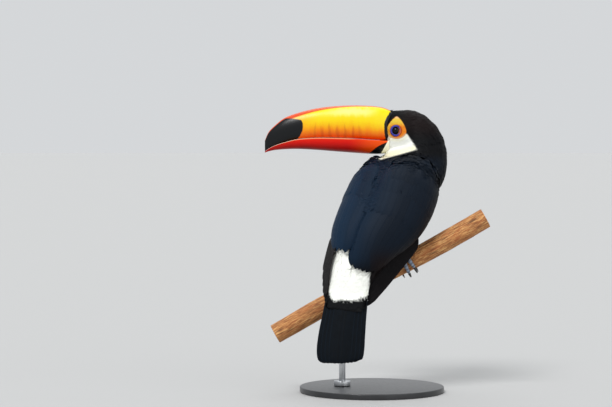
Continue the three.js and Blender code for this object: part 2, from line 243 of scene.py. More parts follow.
# Each thigh's ankle and knee, left then right.
THIGHS = np.array([[(2, 5, 230), (-5, 36, 256)], [(52, 3, 248), (56, 20, 268)]], float)
PERCH_RADIUS, PERCH_LEFT, PERCH_RIGHT = 15.2, -150.0, 176.0
PERCH_HEIGHT, PERCH_SLOPE, PERCH_BOW = 172.9, 0.554, 3.0
ALONG_BRANCH = np.array([1.0, 0.15, 0.4])
PERCH_UP, ACROSS = unit(np.array([-PERCH_SLOPE, 0, 1.0])), np.array([0, 1.0, 0])
ROD_X, ROD_RADIUS = -46.0, 5.0
BASE_RADIUS, BASE_HEIGHT = 112.0, 9.0


# ---- Meshes -------------------------------------------------------------------------------------


def finished(mesh: Mesh, name: str, smooth: bool = True) -> Object:
    """An object at the origin for a mesh whose place is in its vertices, in metres."""
    mesh.name = name
    mesh.polygons.foreach_set("use_smooth", [smooth] * len(mesh.polygons))
    piece = bpy.data.objects.new(name, mesh)
    bpy.context.scene.collection.objects.link(piece)
    return piece


def shelled(bm: BMesh, name: str, weld: float = 1e-7) -> Object:
    """A piece from a bmesh, its doubles merged and its faces pointing out. The bmesh is used up."""
    bmesh.ops.remove_doubles(bm, verts=bm.verts, dist=weld)
    bmesh.ops.recalc_face_normals(bm, faces=bm.faces)
    return plain_piece(bm, name)


def plain_piece(bm: BMesh, name: str, smooth: bool = True) -> Object:
    """A piece from a bmesh as it is. The bmesh is used up."""
    mesh = bpy.data.meshes.new(name)
    bm.to_mesh(mesh)
    bm.free()
    return finished(mesh, name, smooth)


def dressed(piece: Object, material: Material) -> Object:
    """The piece, with its material."""
    piece.data.materials.append(material)
    return piece


def coordinates(mesh: Mesh) -> Array:
    """The mesh's vertices in millimetres."""
    co = np.empty(len(mesh.vertices) * 3)
    mesh.vertices.foreach_get("co", co)
    return co.reshape(-1, 3) / MM


def move_to(mesh: Mesh, points: Array) -> None:
    """Sets the mesh's vertices from points in millimetres."""
    mesh.vertices.foreach_set("co", (points * MM).ravel())
    mesh.update()


def normals_of(mesh: Mesh) -> Array:
    """The mesh's vertex normals."""
    n = np.empty(len(mesh.vertices) * 3)
    mesh.vertex_normals.foreach_get("vector", n)
    return n.reshape(-1, 3)


def corners_of(mesh: Mesh) -> Array:
    """The number of the vertex at each corner of the mesh's faces."""
    corners = np.empty(len(mesh.loops), int)
    mesh.loops.foreach_get("vertex_index", corners)
    return corners


def set_attribute(mesh: Mesh, name: str, values: Array) -> None:
    """Gives the mesh's vertices a number each."""
    layer = mesh.attributes.new(name, "FLOAT", "POINT")
    layer.data.foreach_set("value", np.asarray(values, np.float32))


def set_map(mesh: Mesh, uv: Array) -> None:
    """Gives the mesh its map, a place for each corner."""
    mesh.uv_layers.new(name=MAP).data.foreach_set("uv", np.clip(uv, 0, 1).ravel())


def lofted(
    name: str,
    place: Surface,
    sides: int,
    rows: int,
    ends: float = 0.0,
    marks: dict[str, Surface] | None = None,
    uv: bool = True,
) -> Object:
    """A closed body from a grid wrapped round an axis, both ends drawn to a point.

    Args:
        name: the piece's name.
        place: gives points in millimetres for t and angle.
        sides: steps round.
        rows: steps along.
        ends: how strongly rows crowd towards the ends, 0 to 1.
        marks: numbers to store on the vertices, by name, as functions of t and angle.
        uv: whether to keep a map of the grid.

    Returns:
        The piece, with its normals pointing out.
    """
    bm = bmesh.new()
    bmesh.ops.create_grid(bm, x_segments=sides, y_segments=rows, size=0.5, calc_uvs=False)
    grid = np.array([v.co[:2] for v in bm.verts]) + 0.5
    layer = bm.loops.layers.uv.new(MAP) if uv else None
    if layer:
        for face in bm.faces:
            for loop in face.loops:
                loop[layer].uv = (loop.vert.co.x + 0.5, loop.vert.co.y + 0.5)
    even = grid[:, 1]
    t = (1 - ends) * even + ends * (0.5 - 0.5 * np.cos(np.pi * even))
    angle = 2 * np.pi * grid[:, 0]
    layers = {k: bm.verts.layers.float.new(k) for k in (marks or {})}
    values = {k: f(t, angle) for k, f in (marks or {}).items()}
    for i, (vert, p) in enumerate(zip(bm.verts, place(t, angle))):
        vert.co = Vector(p * MM)
        for k, data in values.items():
            vert[layers[k]] = float(data[i])
    return shelled(bm, name)


def joined(name: str, pieces: list[Object]) -> Object:
    """One piece from several, which are used up."""
    whole = pieces[0]
    chosen = {"active_object": whole, "selected_editable_objects": pieces, "selected_objects": pieces}
    with bpy.context.temp_override(**chosen):
        bpy.ops.object.join()
    whole.name = whole.data.name = name
    return whole


def bvh_of(mesh: Mesh) -> BVHTree:
    """A search tree of the mesh's faces, in millimetres."""
    points = coordinates(mesh)
    return BVHTree.FromPolygons(points.tolist(), [list(p.vertices) for p in mesh.polygons])


def nearest(tree: BVHTree, points: Array) -> tuple[Array, Array]:
    """The nearest surface points and their normals."""
    found = [tree.find_nearest(Vector(p)) for p in points]
    return np.array([f[0] for f in found]), np.array([f[1] for f in found])


# ---- Where things are on the bird ---------------------------------------------------------------


class Lines:
    """The bird's middle lines, from the bill's root to the tail, with the way the plumage lies."""

    STEPS = 90
    PULL = 3.5  # how strongly the nearest part of the lines rules

    def __init__(self) -> None:
        """Samples the two lines."""
        t = np.linspace(0, 1, self.STEPS)
        self.head = HEAD_LINE.at(t)
        self.head_lie = -HEAD_LINE.along(t)
        self.trunk, self.trunk_side, self.trunk_back, _ = TRUNK.frame(t)
        self.trunk_lie = -TRUNK.line.along(t)

    def lie(self, points: Array) -> Array:
        """Direction in which feathers point, before it is laid on the surface."""
        # The lower third of the head's line runs inside the shoulders, where the trunk's rules.
        keep = slice(self.STEPS // 4, None)
        samples = np.vstack([self.head[keep], self.trunk[: -self.STEPS // 12]])
        ways = np.vstack([self.head_lie[keep], self.trunk_lie[: -self.STEPS // 12]])
        gap = np.linalg.norm(points[:, None] - samples[None], axis=2)
        weight = 1.0 / np.maximum(gap, 1.0) ** self.PULL
        return unit((weight[..., None] * ways[None]).sum(1))

    def on_trunk(self, points: Array) -> tuple[Array, Array]:
        """Place along the trunk, 0 to 1, and angle round it, for each point."""
        i, off = self.closest(points, self.trunk)
        side, back = ((off * way[i]).sum(1) for way in (self.trunk_side, self.trunk_back))
        return i / (self.STEPS - 1), np.arctan2(back, side)

    def on_head(self, points: Array) -> tuple[Array, Array]:
        """Place along the head's line, 0 to 1, and angle round it, for each point."""
        i, off = self.closest(points, self.head)
        side = np.array([0.0, 1.0, 0.0])
        up = unit(np.cross(side, -self.head_lie[i]))
        return i / (self.STEPS - 1), np.arctan2((off * up).sum(1), (off * side).sum(1))

    @staticmethod
    def closest(points: Array, line: Array) -> tuple[Array, Array]:
        """For each point the number of the line's nearest sample, and the way from it."""
        i = np.linalg.norm(points[:, None] - line[None], axis=2).argmin(1)
        return i, points - line[i]

    def wing_share(self, side: int, points: Array) -> Array:
        """How far inside a wing's outline points of the body are: 1 at its middle line, 0 outside.

        Args:
            side: 1 for the right wing and -1 for the left.
            points: the points.

        Returns:
            One share for each point.
        """
        along, turn = self.on_trunk(points)
        degrees = np.degrees(turn)
        across = degrees if side > 0 else 180 - degrees
        across = (across + 180) % 360 - 180
        middle, half, _ = wing_at(side, along)
        inside = 1 - np.abs(across - middle) / np.maximum(half, TINY)
        return np.where((half > 1) & (inside > 0) & (points[:, 2] < WING_TOP), inside, 0)

    def winged(self, points: Array) -> Array:
        """How far inside either wing's outline points are."""
        return np.maximum(self.wing_share(1, points), self.wing_share(-1, points))


def wing_at(side: int, along: Array) -> tuple[Array, Array, Array]:
    """Middle turn, half turn (degrees) and thickness of a wing at places along the trunk."""
    first, middle, half, thick = WING_STATIONS.at(np.linspace(0, 1, 60)).T
    if side < 0:
        first = raised(first)
    rows = middle, np.maximum(half, 0), np.maximum(thick, 0)
    return tuple(np.interp(along, first, row) for row in rows)


def raised(along: Array | float) -> Array | float:
    """Where the left wing has what the right wing has at a place along the trunk."""
    return along + LEFT_WING_RAISED * (1 - along) / (1 - WING_FIRST)


class Mark(Enum):
    """The plumage's and skin's own colours laid over black, and a blue painted reflection of the sky."""

    WHITE = "mark_white"
    CREAM = "mark_cream"
    ORANGE = "mark_orange"
    RED = "mark_red"
    BROWN = "mark_brown"
    BLUE = "mark_blue"


@dataclass
class Markings:
    """The toucan's markings and a painted reflection of the sky, as amounts from 0 to 1 at any place on it.
    Sizes in millimetres.
    """

    bare_centre: tuple[float, float] = (39.4, 404.6)
    bare_reach: tuple[float, float, float, float] = (17.0, 14.6, 23.5, 12.0)
    throat_back: tuple[float, float, float, float] = (54.6, 401.4, 70.2, 377.0)
    throat_low: tuple[float, float, float, float] = (70.2, 376.4, 14.5, 360.6)
    bib_radius: float = 33.0
    rump_top: float = 236.0
    lines: Lines = field(default_factory=Lines)

    def bare(self, p: Array) -> Array:
        """How far from the middle of the bare skin round the eye; 1 is its edge."""
        cx, cz = self.bare_centre
        left, right, up, down = self.bare_reach
        x, z = p[:, 0] - cx, p[:, 2] - cz
        x, z = np.abs(x) / np.where(x < 0, left, right), z / np.where(z > 0, up, down)
        peaked = (x**1.4 + np.abs(z) ** 1.4) ** (1 / 1.4)
        return np.where(z > 0, peaked, np.hypot(x, z))

    def at(self, p: Array) -> dict[Mark, Array]:
        """Amount of each mark at points in millimetres."""
        x, y, z = p.T
        on_head = rise(352, 362, z) * rise(-12, 4, x)
        bare = self.bare(p)
        x0, z0, x1, z1 = self.throat_back
        back_edge = x0 + (x1 - x0) * (z0 - z) / (z0 - z1)
        u0, w0, u1, w1 = self.throat_low
        near = fall(44, 62, y)
        low_edge = w0 + (w1 - w0) * (x - u0) / (u1 - u0) - 30 * (1 - near)
        front_edge = np.minimum(25.5, 11.2 + 0.54 * (z - 361.7))
        throat = rise(-1.2, 1.2, back_edge - x) * rise(-1.2, 1.2, z - low_edge)
        throat = throat * fall(399, 402, z) * on_head
        throat = throat * np.maximum(rise(-0.6, 0.6, x - front_edge), 1 - near)
        path = BIB_LINE.at(np.linspace(0, 1, 40))
        gap = np.linalg.norm(p[:, None] - path[None], axis=2).min(1)
        inside = np.minimum(self.bib_radius - gap, y - 56)
        bib = rise(-1, 1, inside)
        bib_rim = pyramid(-inside, -2, 2, 5.5) * fall(340, 352, z)
        along, angle = self.lines.on_trunk(p)
        backward = np.sin(angle)
        rump = rise(-0.4, -0.2, backward) * fall(self.rump_top - 3, self.rump_top + 2, z)
        rump_low, rump_left = 148 + 0.33 * np.maximum(0, x + 28), 0.45 * np.maximum(0, 158 - z) - 67
        rump = rump * fall(-6.5, -5, x) * rise(-0.7, 0.7, z - rump_low) * rise(-0.7, 0.7, x - rump_left)
        vent = fall(-0.75, -0.5, backward) * pyramid(z, 148, 172, 206)
        orange = fall(0.92, 1.02, bare) * on_head
        white = np.clip(np.maximum(throat, bib), 0, 1) * (1 - orange)
        unwinged = fall(0.05, 0.2, self.lines.wing_share(-1, p))
        white = white * unwinged
        cream = white * fall(4, 12 + 36 * (1 - near), z - low_edge) * 0.5
        cream = cream + 0.35 * pyramid(bare, 0.9, 1.1, 1.5) * white
        white = np.maximum(white, rump * (z < 260))
        brown = rise(388, 415, z) * rise(36, 60, x)
        brown = np.maximum(brown, fall(200, 235, z) * rise(-20, 15, x))
        # A faint blue over the back, stronger towards each side, is a painted reflection of the sky.
        right, left = (fall(*limits, np.cos(angle)) for limits in ((0.1, 0.8), (-0.7, -0.2)))
        blue = rise(180, 215, z) * fall(352, 372, z) * rise(-0.4, 0.3, backward)
        blue = blue * (0.25 + 0.4 * right + 0.35 * left)
        return {
            Mark.WHITE: white,
            Mark.CREAM: cream,
            Mark.ORANGE: orange,
            Mark.RED: np.maximum(vent * (z < 230), bib_rim * unwinged * (1 - white)),
            Mark.BROWN: brown * (1 - white),
            Mark.BLUE: blue,
        }

    def store(self, mesh: Mesh, p: Array) -> None:
        """Stores the marks of points p as the mesh's vertex numbers."""
        batch = 60000
        parts = [self.at(p[k : k + batch]) for k in range(0, len(p), batch)]
        for mark in Mark:
            set_attribute(mesh, mark.value, np.concatenate([part[mark] for part in parts]))


# ---- Materials ----------------------------------------------------------------------------------


class Signal:
    """A value in a shader tree; arithmetic on it adds nodes."""

    def __init__(self, wire: "Wiring", socket: NodeSocket) -> None:
        """Args: wire: its tree's wiring. socket: where the value comes out."""
        self.wire, self.socket = wire, socket

    def __add__(self, other: "Feed") -> "Signal":
        """The sum."""
        return self.wire.math("ADD", self, other)

    def __sub__(self, other: "Feed") -> "Signal":
        """The difference."""
        return self.wire.math("SUBTRACT", self, other)

    def __rsub__(self, other: float) -> "Signal":
        """A number less this value."""
        return self.wire.math("SUBTRACT", other, self)

    def __mul__(self, other: "Feed") -> "Signal":
        """The product."""
        return self.wire.math("MULTIPLY", self, other)

    def __truediv__(self, other: "Feed") -> "Signal":
        """The quotient."""
        return self.wire.math("DIVIDE", self, other)

    def __abs__(self) -> "Signal":
        """The size without the sign."""
        return self.wire.math("ABSOLUTE", self)

    def sine(self) -> "Signal":
        """The sine of an angle in radians."""
        return self.wire.math("SINE", self)

    def step(self, low: float, high: float) -> "Signal":
        """0 below low to 1 above high, smoothly; falls if high is below low."""
        inputs = {"Value": self, "From Min": min(low, high), "From Max": max(low, high)}
        inputs |= {"To Min": float(low > high), "To Max": float(low < high)}
        return self.wire.value("ShaderNodeMapRange", "Result", inputs, interpolation_type="SMOOTHSTEP")


Feed = Signal | float | tuple
Inputs = Mapping[str | int, Feed]


class Wiring:
    """A shader node tree as it is wired up."""

    def __init__(self, tree: NodeTree) -> None:
        """Args: tree: the tree to add to."""
        self.tree = tree

    def node(self, kind: str, inputs: Inputs = MappingProxyType({}), **settings: object) -> Node:
        """A new node with its inputs fed and its settings made."""
        made = self.tree.nodes.new(kind)
        for name, value in settings.items():
            setattr(made, name, value)
        for name, value in inputs.items():
            self.feed(made.inputs[name], value)
        return made

    def value(
        self, kind: str, output: str | int, inputs: Inputs = MappingProxyType({}), **settings: object
    ) -> Signal:
        """One output of a new node."""
        return Signal(self, self.node(kind, inputs, **settings).outputs[output])

    def feed(self, socket: NodeSocket, value: Feed) -> None:
        """Links or sets an input."""
        if isinstance(value, Signal):
            self.tree.links.new(value.socket, socket)
        elif isinstance(value, tuple) and socket.type == "RGBA":
            socket.default_value = (*value, 1.0)
        else:
            socket.default_value = value

    def math(self, operation: str, a: Feed, b: Feed | None = None, clamp: bool = False) -> Signal:
        """One arithmetic step."""
        inputs = {0: a} if b is None else {0: a, 1: b}
        return self.value("ShaderNodeMath", 0, inputs, operation=operation, use_clamp=clamp)

    def mix(self, amount: Feed, a: Feed, b: Feed) -> Signal:
        """A colour between a and b."""
        return self.value("ShaderNodeMix", 2, {0: amount, 6: a, 7: b}, data_type="RGBA")

    def lerp(self, amount: Feed, a: Feed, b: Feed) -> Signal:
        """A number between a and b."""
        return self.value("ShaderNodeMix", 0, {0: amount, 2: a, 3: b}, data_type="FLOAT")

    def scaled(self, colour: Feed, amount: Feed) -> Signal:
        """A colour made lighter or darker."""
        return self.value("ShaderNodeVectorMath", 0, {0: colour, "Scale": amount}, operation="SCALE")

    def attribute(self, name: str) -> Signal:
        """A number stored on the vertices."""
        return self.value("ShaderNodeAttribute", "Fac", attribute_name=name)

    def here(self, scale: RGB | None = None, turn: RGB = (0.0, 0.0, 0.0)) -> Signal:
        """Object coordinates, turned and then stretched where a scale is given."""
        place = self.value("ShaderNodeTexCoord", "Object")
        return place if scale is None else self.mapped(place, scale, turn)

    def mapped(self, vector: Feed, scale: RGB, turn: RGB = (0.0, 0.0, 0.0)) -> Signal:
        """A vector turned, then stretched."""
        return self.value("ShaderNodeMapping", 0, {"Vector": vector, "Rotation": turn, "Scale": scale})

    def noise(
        self, vector: Feed, scale: Feed, detail: float = 3.0, rough: float = 0.55, distortion: float = 0.0
    ) -> Signal:
        """Cloudy noise, 0 to 1."""
        inputs = {"Vector": vector, "Scale": scale, "Detail": detail}
        inputs |= {"Roughness": rough, "Distortion": distortion}
        return self.value("ShaderNodeTexNoise", "Fac", inputs)

    def stray(self, vector: Feed, scale: float, detail: float, reach: float) -> Signal:
        """Noise about 0 that spans a reach."""
        return (self.noise(vector, scale, detail) - 0.5) * reach

    def cells(self, vector: Feed, scale: float, feature: str) -> Signal:
        """Distances in a pattern of cells."""
        inputs = {"Vector": vector, "Scale": scale}
        return self.value("ShaderNodeTexVoronoi", "Distance", inputs, feature=feature)

    def ramp(self, value: Feed, *stops: tuple[float, RGB]) -> Signal:
        """A colour from a scale of colours."""
        made = self.node("ShaderNodeValToRGB", {0: value})
        scale = made.color_ramp
        while len(scale.elements) < len(stops):
            scale.elements.new(0.5)
        for element, (place, colour) in zip(scale.elements, stops):
            element.position = place
            element.color = (*colour, 1.0)
        return Signal(self, made.outputs[0])

    def group(self, tree: NodeTree, **inputs: Feed) -> dict[str, Signal]:
        """The outputs of a group node whose inputs are fed."""
        made = self.node("ShaderNodeGroup", node_tree=tree)
        for name, value in inputs.items():
            self.feed(made.inputs[name], value)
        return {socket.name: Signal(self, socket) for socket in made.outputs}


NUMBER, COLOUR, VECTOR = "NodeSocketFloat", "NodeSocketColor", "NodeSocketVector"


class Group(Wiring):
    """The wiring of a new shader group."""

    def __init__(self, name: str, inputs: dict[str, float | None], outputs: dict[str, str]) -> None:
        """Makes the group's sockets.

        Args:
            name: the group's name.
            inputs: the default of each number by name; a vector has None.
            outputs: kind of socket by name.
        """
        super().__init__(bpy.data.node_groups.new(name, "ShaderNodeTree"))
        sockets = self.tree.interface
        for socket, default in inputs.items():
            kind = VECTOR if default is None else NUMBER
            made = sockets.new_socket(socket, in_out="INPUT", socket_type=kind)
            if default is not None:
                made.default_value = default
        for socket, kind in outputs.items():
            sockets.new_socket(socket, in_out="OUTPUT", socket_type=kind)
        self.given = {s.name: Signal(self, s) for s in self.node("NodeGroupInput").outputs}
        self.out = self.node("NodeGroupOutput").inputs

    def give(self, **outputs: Feed) -> NodeTree:
        """Feeds the outputs and returns the group."""
        for name, value in outputs.items():
            self.feed(self.out[name], value)
        return self.tree


class Paint(Wiring):
    """The wiring of a new material round its shader."""

    def __init__(self, name: str, specular: float = 0.5, **constants: float) -> None:
        """Starts the material.

        Args:
            name: its name.
            specular: its specular level.
            constants: other inputs of the shader that are the same all over.
        """
        self.material = bpy.data.materials.new(name)
        self.material.use_nodes = True
        super().__init__(self.material.node_tree)
        self.shader = self.tree.nodes["Principled BSDF"].inputs
        for socket, value in {"Specular IOR Level": specular, **constants}.items():
            self.shader[socket.replace("_", " ")].default_value = value

    def finish(self, colour: Feed, roughness: Feed, height: Feed = 0.0, relief: float = 0.0) -> Material:
        """Feeds the shader.

        Args:
            colour: base colour.
            roughness: roughness.
            height: relief, in units of its depth.
            relief: that depth in millimetres; 0 for none.

        Returns:
            The material.
        """
        self.feed(self.shader["Base Color"], colour)
        self.feed(self.shader["Roughness"], roughness)
        if relief:
            inputs = {"Strength": 1.0, "Distance": relief * MM, "Height": height}
            self.feed(self.shader["Normal"], self.value("ShaderNodeBump", 0, inputs))
        return self.material


def srgb(r: int, g: int, b: int) -> RGB:
    """A linear colour from the 0 to 255 values that a screen shows."""
    return tuple((c / 255 / 12.92) if c <= 10 else ((c / 255 + 0.055) / 1.055) ** 2.4 for c in (r, g, b))


@dataclass(frozen=True)
class PlumageColours:
    """The plumage's and the bare skin's colours, and the blue of a painted reflection of the sky."""

    black: RGB = srgb(5, 6, 9)
    # The blue of a painted reflection of the sky on the black plumage.
    blue: RGB = srgb(15, 37, 58)
    brown: RGB = srgb(18, 9, 9)
    white: RGB = srgb(246, 247, 240)
    cream: RGB = srgb(248, 238, 180)
    orange: RGB = srgb(246, 140, 28)
    yellow_skin: RGB = srgb(238, 206, 64)
    pale_skin: RGB = srgb(244, 206, 160)
    red: RGB = srgb(196, 22, 14)


def plumage_group(colours: PlumageColours) -> NodeTree:
    """The shared colouring of skin and coat, from the marks and each feather's own tone."""
    inputs = {m.name.title(): 0.0 for m in Mark} | {"Tone": 0.5}
    group = Group("plumage", inputs, {"Colour": COLOUR, "Roughness": NUMBER})
    given = group.given
    # Mixes the painted blue reflection of the sky over the black.
    dark = group.mix(given["Blue"], colours.black, colours.blue)
    dark = group.mix(given["Brown"], dark, colours.brown)
    dark = group.scaled(dark, group.lerp(given["Tone"], 0.78, 1.25))
    white = group.mix(given["Cream"], colours.white, colours.cream)
    white = group.scaled(white, group.lerp(given["Tone"], 0.93, 1.0))
    colour = group.mix(given["Red"], dark, colours.red)
    colour = group.mix(given["White"], colour, white)
    colour = group.mix(given["Orange"], colour, colours.orange)
    pale = group.math("MAXIMUM", given["White"], given["Red"])
    return group.give(Colour=colour, Roughness=group.lerp(pale, 0.55, 0.85))


def barb_group() -> NodeTree:
    """The relief of a vane: a shaft down the middle and fine barbs that slant out from it."""
    inputs = {"Across": 0.5, "Down": 0.5, "Barbs": 30.0, "Slant": 0.6}
    group = Group("barbs", inputs, {"Height": NUMBER, "Shaft": NUMBER})
    given = group.given
    off = abs(given["Across"] - 0.5)
    run = given["Down"] - off * given["Slant"]
    wave = (run * (given["Barbs"] * 6.283)).sine()
    shaft = off.step(0.05, 0.015)
    return group.give(Height=wave * 0.5 + shaft * 1.4, Shaft=shaft)


def mottle_group() -> NodeTree:
    """Uneven patches at two sizes, for skin, bark, horn and metal."""
    inputs = {"Place": None, "Size": 100.0, "Sharpness": 0.3}
    group = Group("mottle", inputs, {"Amount": NUMBER, "Grain": NUMBER})
    given = group.given
    fine = group.noise(given["Place"], given["Size"] * 6.0, 3.0, 0.5)
    coarse = group.noise(given["Place"], given["Size"], 4.0, 0.5)
    sharp = (coarse - 0.5) / (given["Sharpness"] + 0.001)
    return group.give(Amount=group.math("ADD", sharp, 0.5, clamp=True), Grain=fine)


@dataclass(frozen=True)
class Finish:
    """A plain finish: a colour with gloss, and uneven patches of a second colour."""

    name: str
    colour: RGB
    second: RGB
    roughness: float = 0.5
    metallic: float = 0.0
    patch_size: float = 120.0
    relief: float = 0.0
    coat: float = 0.0


class Materials:
    """All the model's materials, each built once."""

    def __init__(self) -> None:
        """Builds the shared groups."""
        self.colours = PlumageColours()
        self.plumage = plumage_group(self.colours)
        self.barbs = barb_group()
        self.mottle = mottle_group()

    def plain(self, finish: Finish) -> Material:
        """A material from a plain finish."""
        paint = Paint(finish.name, Metallic=finish.metallic, Coat_Weight=finish.coat)
        spots = paint.group(self.mottle, Place=paint.here(), Size=finish.patch_size)
        colour = paint.mix(spots["Amount"], finish.colour, finish.second)
        rough = paint.lerp(spots["Grain"], finish.roughness * 0.85, min(1.0, finish.roughness * 1.15))
        return paint.finish(colour, rough, spots["Grain"], finish.relief)

    def coloured(self, paint: Paint, tone: Feed) -> dict[str, Signal]:
        """The plumage group's outputs, fed by the marks stored on the mesh."""
        marks = {m.name.title(): paint.attribute(m.value) for m in Mark}
        return paint.group(self.plumage, Tone=tone, **marks)

    def skin(self) -> Material:
        """Skin under the feathers, and bare, creased skin round the eye."""
        paint = Paint("skin", 0.2)
        place = paint.here()
        look = self.coloured(paint, 0.25)
        bare = paint.attribute(Mark.ORANGE.value)
        cloud = paint.group(self.mottle, Place=place, Size=160.0, Sharpness=0.5)
        tone = paint.mix(paint.attribute("bare_yellow"), self.colours.orange, self.colours.yellow_skin)
        tone = paint.mix(paint.attribute("bare_pale"), tone, self.colours.pale_skin)
        tone = paint.mix(cloud["Amount"] * 0.2, tone, srgb(226, 96, 10))
        tone = paint.mix(paint.attribute("bare_rim"), tone, srgb(176, 52, 24))
        pebble = paint.cells(paint.mapped(place, (1.0, 1.0, 1.35)), 900.0, "DISTANCE_TO_EDGE").step(0.0, 0.18)
        colour = paint.mix(bare, look["Colour"], tone)
        return paint.finish(colour, paint.lerp(bare, 0.75, 0.42), (pebble + cloud["Grain"]) * bare, 0.35)

    def feathers(self, name: str, barbs: float, relief: float, slant: float = 0.5) -> Material:
        """Feathers in the plumage's colours.

        Args:
            name: the material's name.
            barbs: barbs along a vane.
            relief: their height in millimetres.
            slant: how far they slant.

        Returns:
            The material.
        """
        paint = Paint(name, 0.1)
        look = self.coloured(paint, paint.attribute("tone"))
        vane = self.vane(paint, barbs, slant)
        return paint.finish(look["Colour"], look["Roughness"], vane["Height"], relief)

    def vane(self, paint: Paint, barbs: float, slant: float) -> dict[str, Signal]:
        """The barb group's outputs, fed by the places stored on the feathers."""
        across, down = paint.attribute("across"), paint.attribute("down")
        return paint.group(self.barbs, Across=across, Down=down, Barbs=barbs, Slant=slant)

    def bill_upper(self) -> Material:
        """Upper half of the bill: yellow over orange, with a pale painted highlight along its top, a black
        tip and a black band at its root.
        """
        paint = Paint("bill_upper", 0.28)
        along, up = paint.attribute("bill_along"), paint.attribute("bill_up")
        place = paint.here()
        level = up + paint.stray(paint.mapped(place, (1.0, 1.0, 0.22)), 150.0, 3.0, 0.2)
        body = paint.ramp(
            level,
            (0.0, srgb(236, 84, 3)),
            (0.12, srgb(232, 94, 3)),
            (0.27, srgb(232, 134, 2)),
            (0.42, srgb(232, 180, 2)),
            (0.56, srgb(232, 202, 3)),
            (1.0, srgb(233, 214, 8)),
        )
        # Soft dark flames that rise from the cutting edge.
        beat = (along * 0.532 + paint.stray(place, 55.0, 2.0, 4.4)).sine()
        tall = paint.noise(paint.mapped(place, (1.0, 0.0, 0.0)), 110.0, 1.0) * 0.9
        flames = beat.step(-0.2, 1.0) * (level - tall).step(0.0, -0.2)
        flames = flames * (along.step(24.0, 50.0) * along.step(130.0, 104.0))
        body = paint.mix(flames * 0.38, body, srgb(176, 62, 6))
        # A pale painted highlight along the upper side of the bill.
        painted_highlight = level.step(0.62, 0.82) * level.step(0.98, 0.86)
        painted_highlight = painted_highlight * (along.step(12.0, 40.0) * along.step(104.0, 62.0))
        body = paint.mix(painted_highlight * 0.6, body, srgb(240, 236, 150))
        body = paint.mix(along.step(96.0, 140.0) * 0.4, body, srgb(232, 112, 4))
        ridge = up + along * along * 6.5e-6 - 0.975
        body = paint.mix(ridge.step(-0.012, 0.02) * 0.9, body, srgb(204, 38, 18))
        edge = up.step(0.05, 0.02) * along.step(42.0, 60.0)
        body = paint.mix(edge * 0.5, body, srgb(240, 190, 120))
        ragged = paint.stray(place, 260.0, 3.0, 2.4)
        # The black tip has a round end towards the face.
        off = (up - 0.45) / 0.45
        start = along - (off * off * 9.0 + 128.0) + ragged
        top = paint.math("MINIMUM", (along - 136.0) * 0.0105 + 0.75 - up, 0.95 - up)
        tip = start.step(-0.8, 0.8) * top.step(-0.03, 0.02)
        black = paint.math("MAXIMUM", tip, (along + ragged).step(1.8, 0.7))
        return self.horn(paint, paint.mix(black, body, srgb(7, 9, 12)), 0.24, 0.36)

    def bill_lower(self) -> Material:
        """Lower half of the bill: orange-red, darkened towards its keel as painted shade on its underside,
        black at its root.
        """
        paint = Paint("bill_lower", 0.2)
        along, down = paint.attribute("bill_along"), paint.attribute("bill_up")
        place = paint.here()
        level = down + paint.stray(paint.mapped(place, (1.0, 1.0, 0.45)), 80.0, 4.0, 0.3)
        # Its own red, darkening towards the keel as painted shade on the underside.
        body = paint.ramp(
            level,
            (0.0, srgb(222, 28, 1)),
            (0.35, srgb(208, 12, 1)),
            (0.7, srgb(178, 6, 1)),
            (1.0, srgb(118, 4, 2)),
        )
        body = paint.mix(along.step(60.0, 10.0), body, srgb(232, 76, 3))
        body = paint.mix(along.step(120.0, 180.0), body, srgb(170, 12, 2))
        edge = down.step(0.09, 0.03) * along.step(42.0, 60.0)
        body = paint.mix(edge * 0.6, body, srgb(240, 176, 110))
        limit = paint.math("SQRT", down) * 44.0 - 16.5
        root = (along + paint.stray(place, 220.0, 3.0, 3.0) - limit).step(0.7, -0.7)
        body = paint.mix(root, body, srgb(7, 9, 12))
        # Behind a slanting line the bill is as pale as the throat.
        x, _, z = (Signal(paint, s) for s in paint.node("ShaderNodeSeparateXYZ", {0: place}).outputs)
        behind = x - (z * 0.54 + (10.6 - 0.54 * 361.7) * MM)
        body = paint.mix(behind.step(-0.5 * MM, 0.5 * MM), body, srgb(244, 240, 214))
        return self.horn(paint, body, 0.26, 0.4)

    @staticmethod
    def horn(paint: Paint, colour: Feed, smooth: float, rough: float) -> Material:
        """The bill's surface, finely grained along it, between two roughnesses."""
        grain = paint.noise(paint.here((0.35, 1.0, 1.0)), 900.0, 3.0)
        return paint.finish(colour, paint.lerp(grain, smooth, rough), grain, 0.06)

    def long_vane(self, name: str, colour: RGB, edge: RGB) -> Material:
        """Wing quills and tail quills: dark, with a painted highlight along the rim, a shaft and slanting
        barbs.
        """
        paint = Paint(name, 0.07)
        vane = self.vane(paint, 90.0, 0.35)
        cloud = paint.group(self.mottle, Place=paint.here(), Size=90.0, Sharpness=0.6)
        # A pale painted highlight along each quill's rim.
        rim = abs(paint.attribute("across") - 0.5).step(0.38, 0.5)
        shade = paint.mix(cloud["Amount"] * 0.25, colour, edge)
        shade = paint.mix(rim * 0.8, shade, edge)
        shade = paint.mix(vane["Shaft"] * 0.5, shade, srgb(9, 9, 11))
        return paint.finish(shade, paint.lerp(cloud["Grain"], 0.38, 0.56), vane["Height"], 0.05)

    def lids(self) -> Material:
        """The ring of beaded blue skin round the eye."""
        paint = Paint("eye_ring")
        beads = paint.cells(paint.here(), 1300.0, "F1")
        colour = paint.ramp(
            paint.attribute("out"),
            (0.0, srgb(14, 14, 40)),
            (0.18, srgb(32, 36, 150)),
            (0.6, srgb(44, 56, 196)),
            (0.9, srgb(38, 40, 140)),
            (1.0, srgb(60, 34, 60)),
        )
        colour = paint.mix(beads.step(0.35, 0.75), colour, srgb(18, 18, 84))
        return paint.finish(colour, paint.lerp(beads, 0.32, 0.5), 1.0 - beads, 0.3)

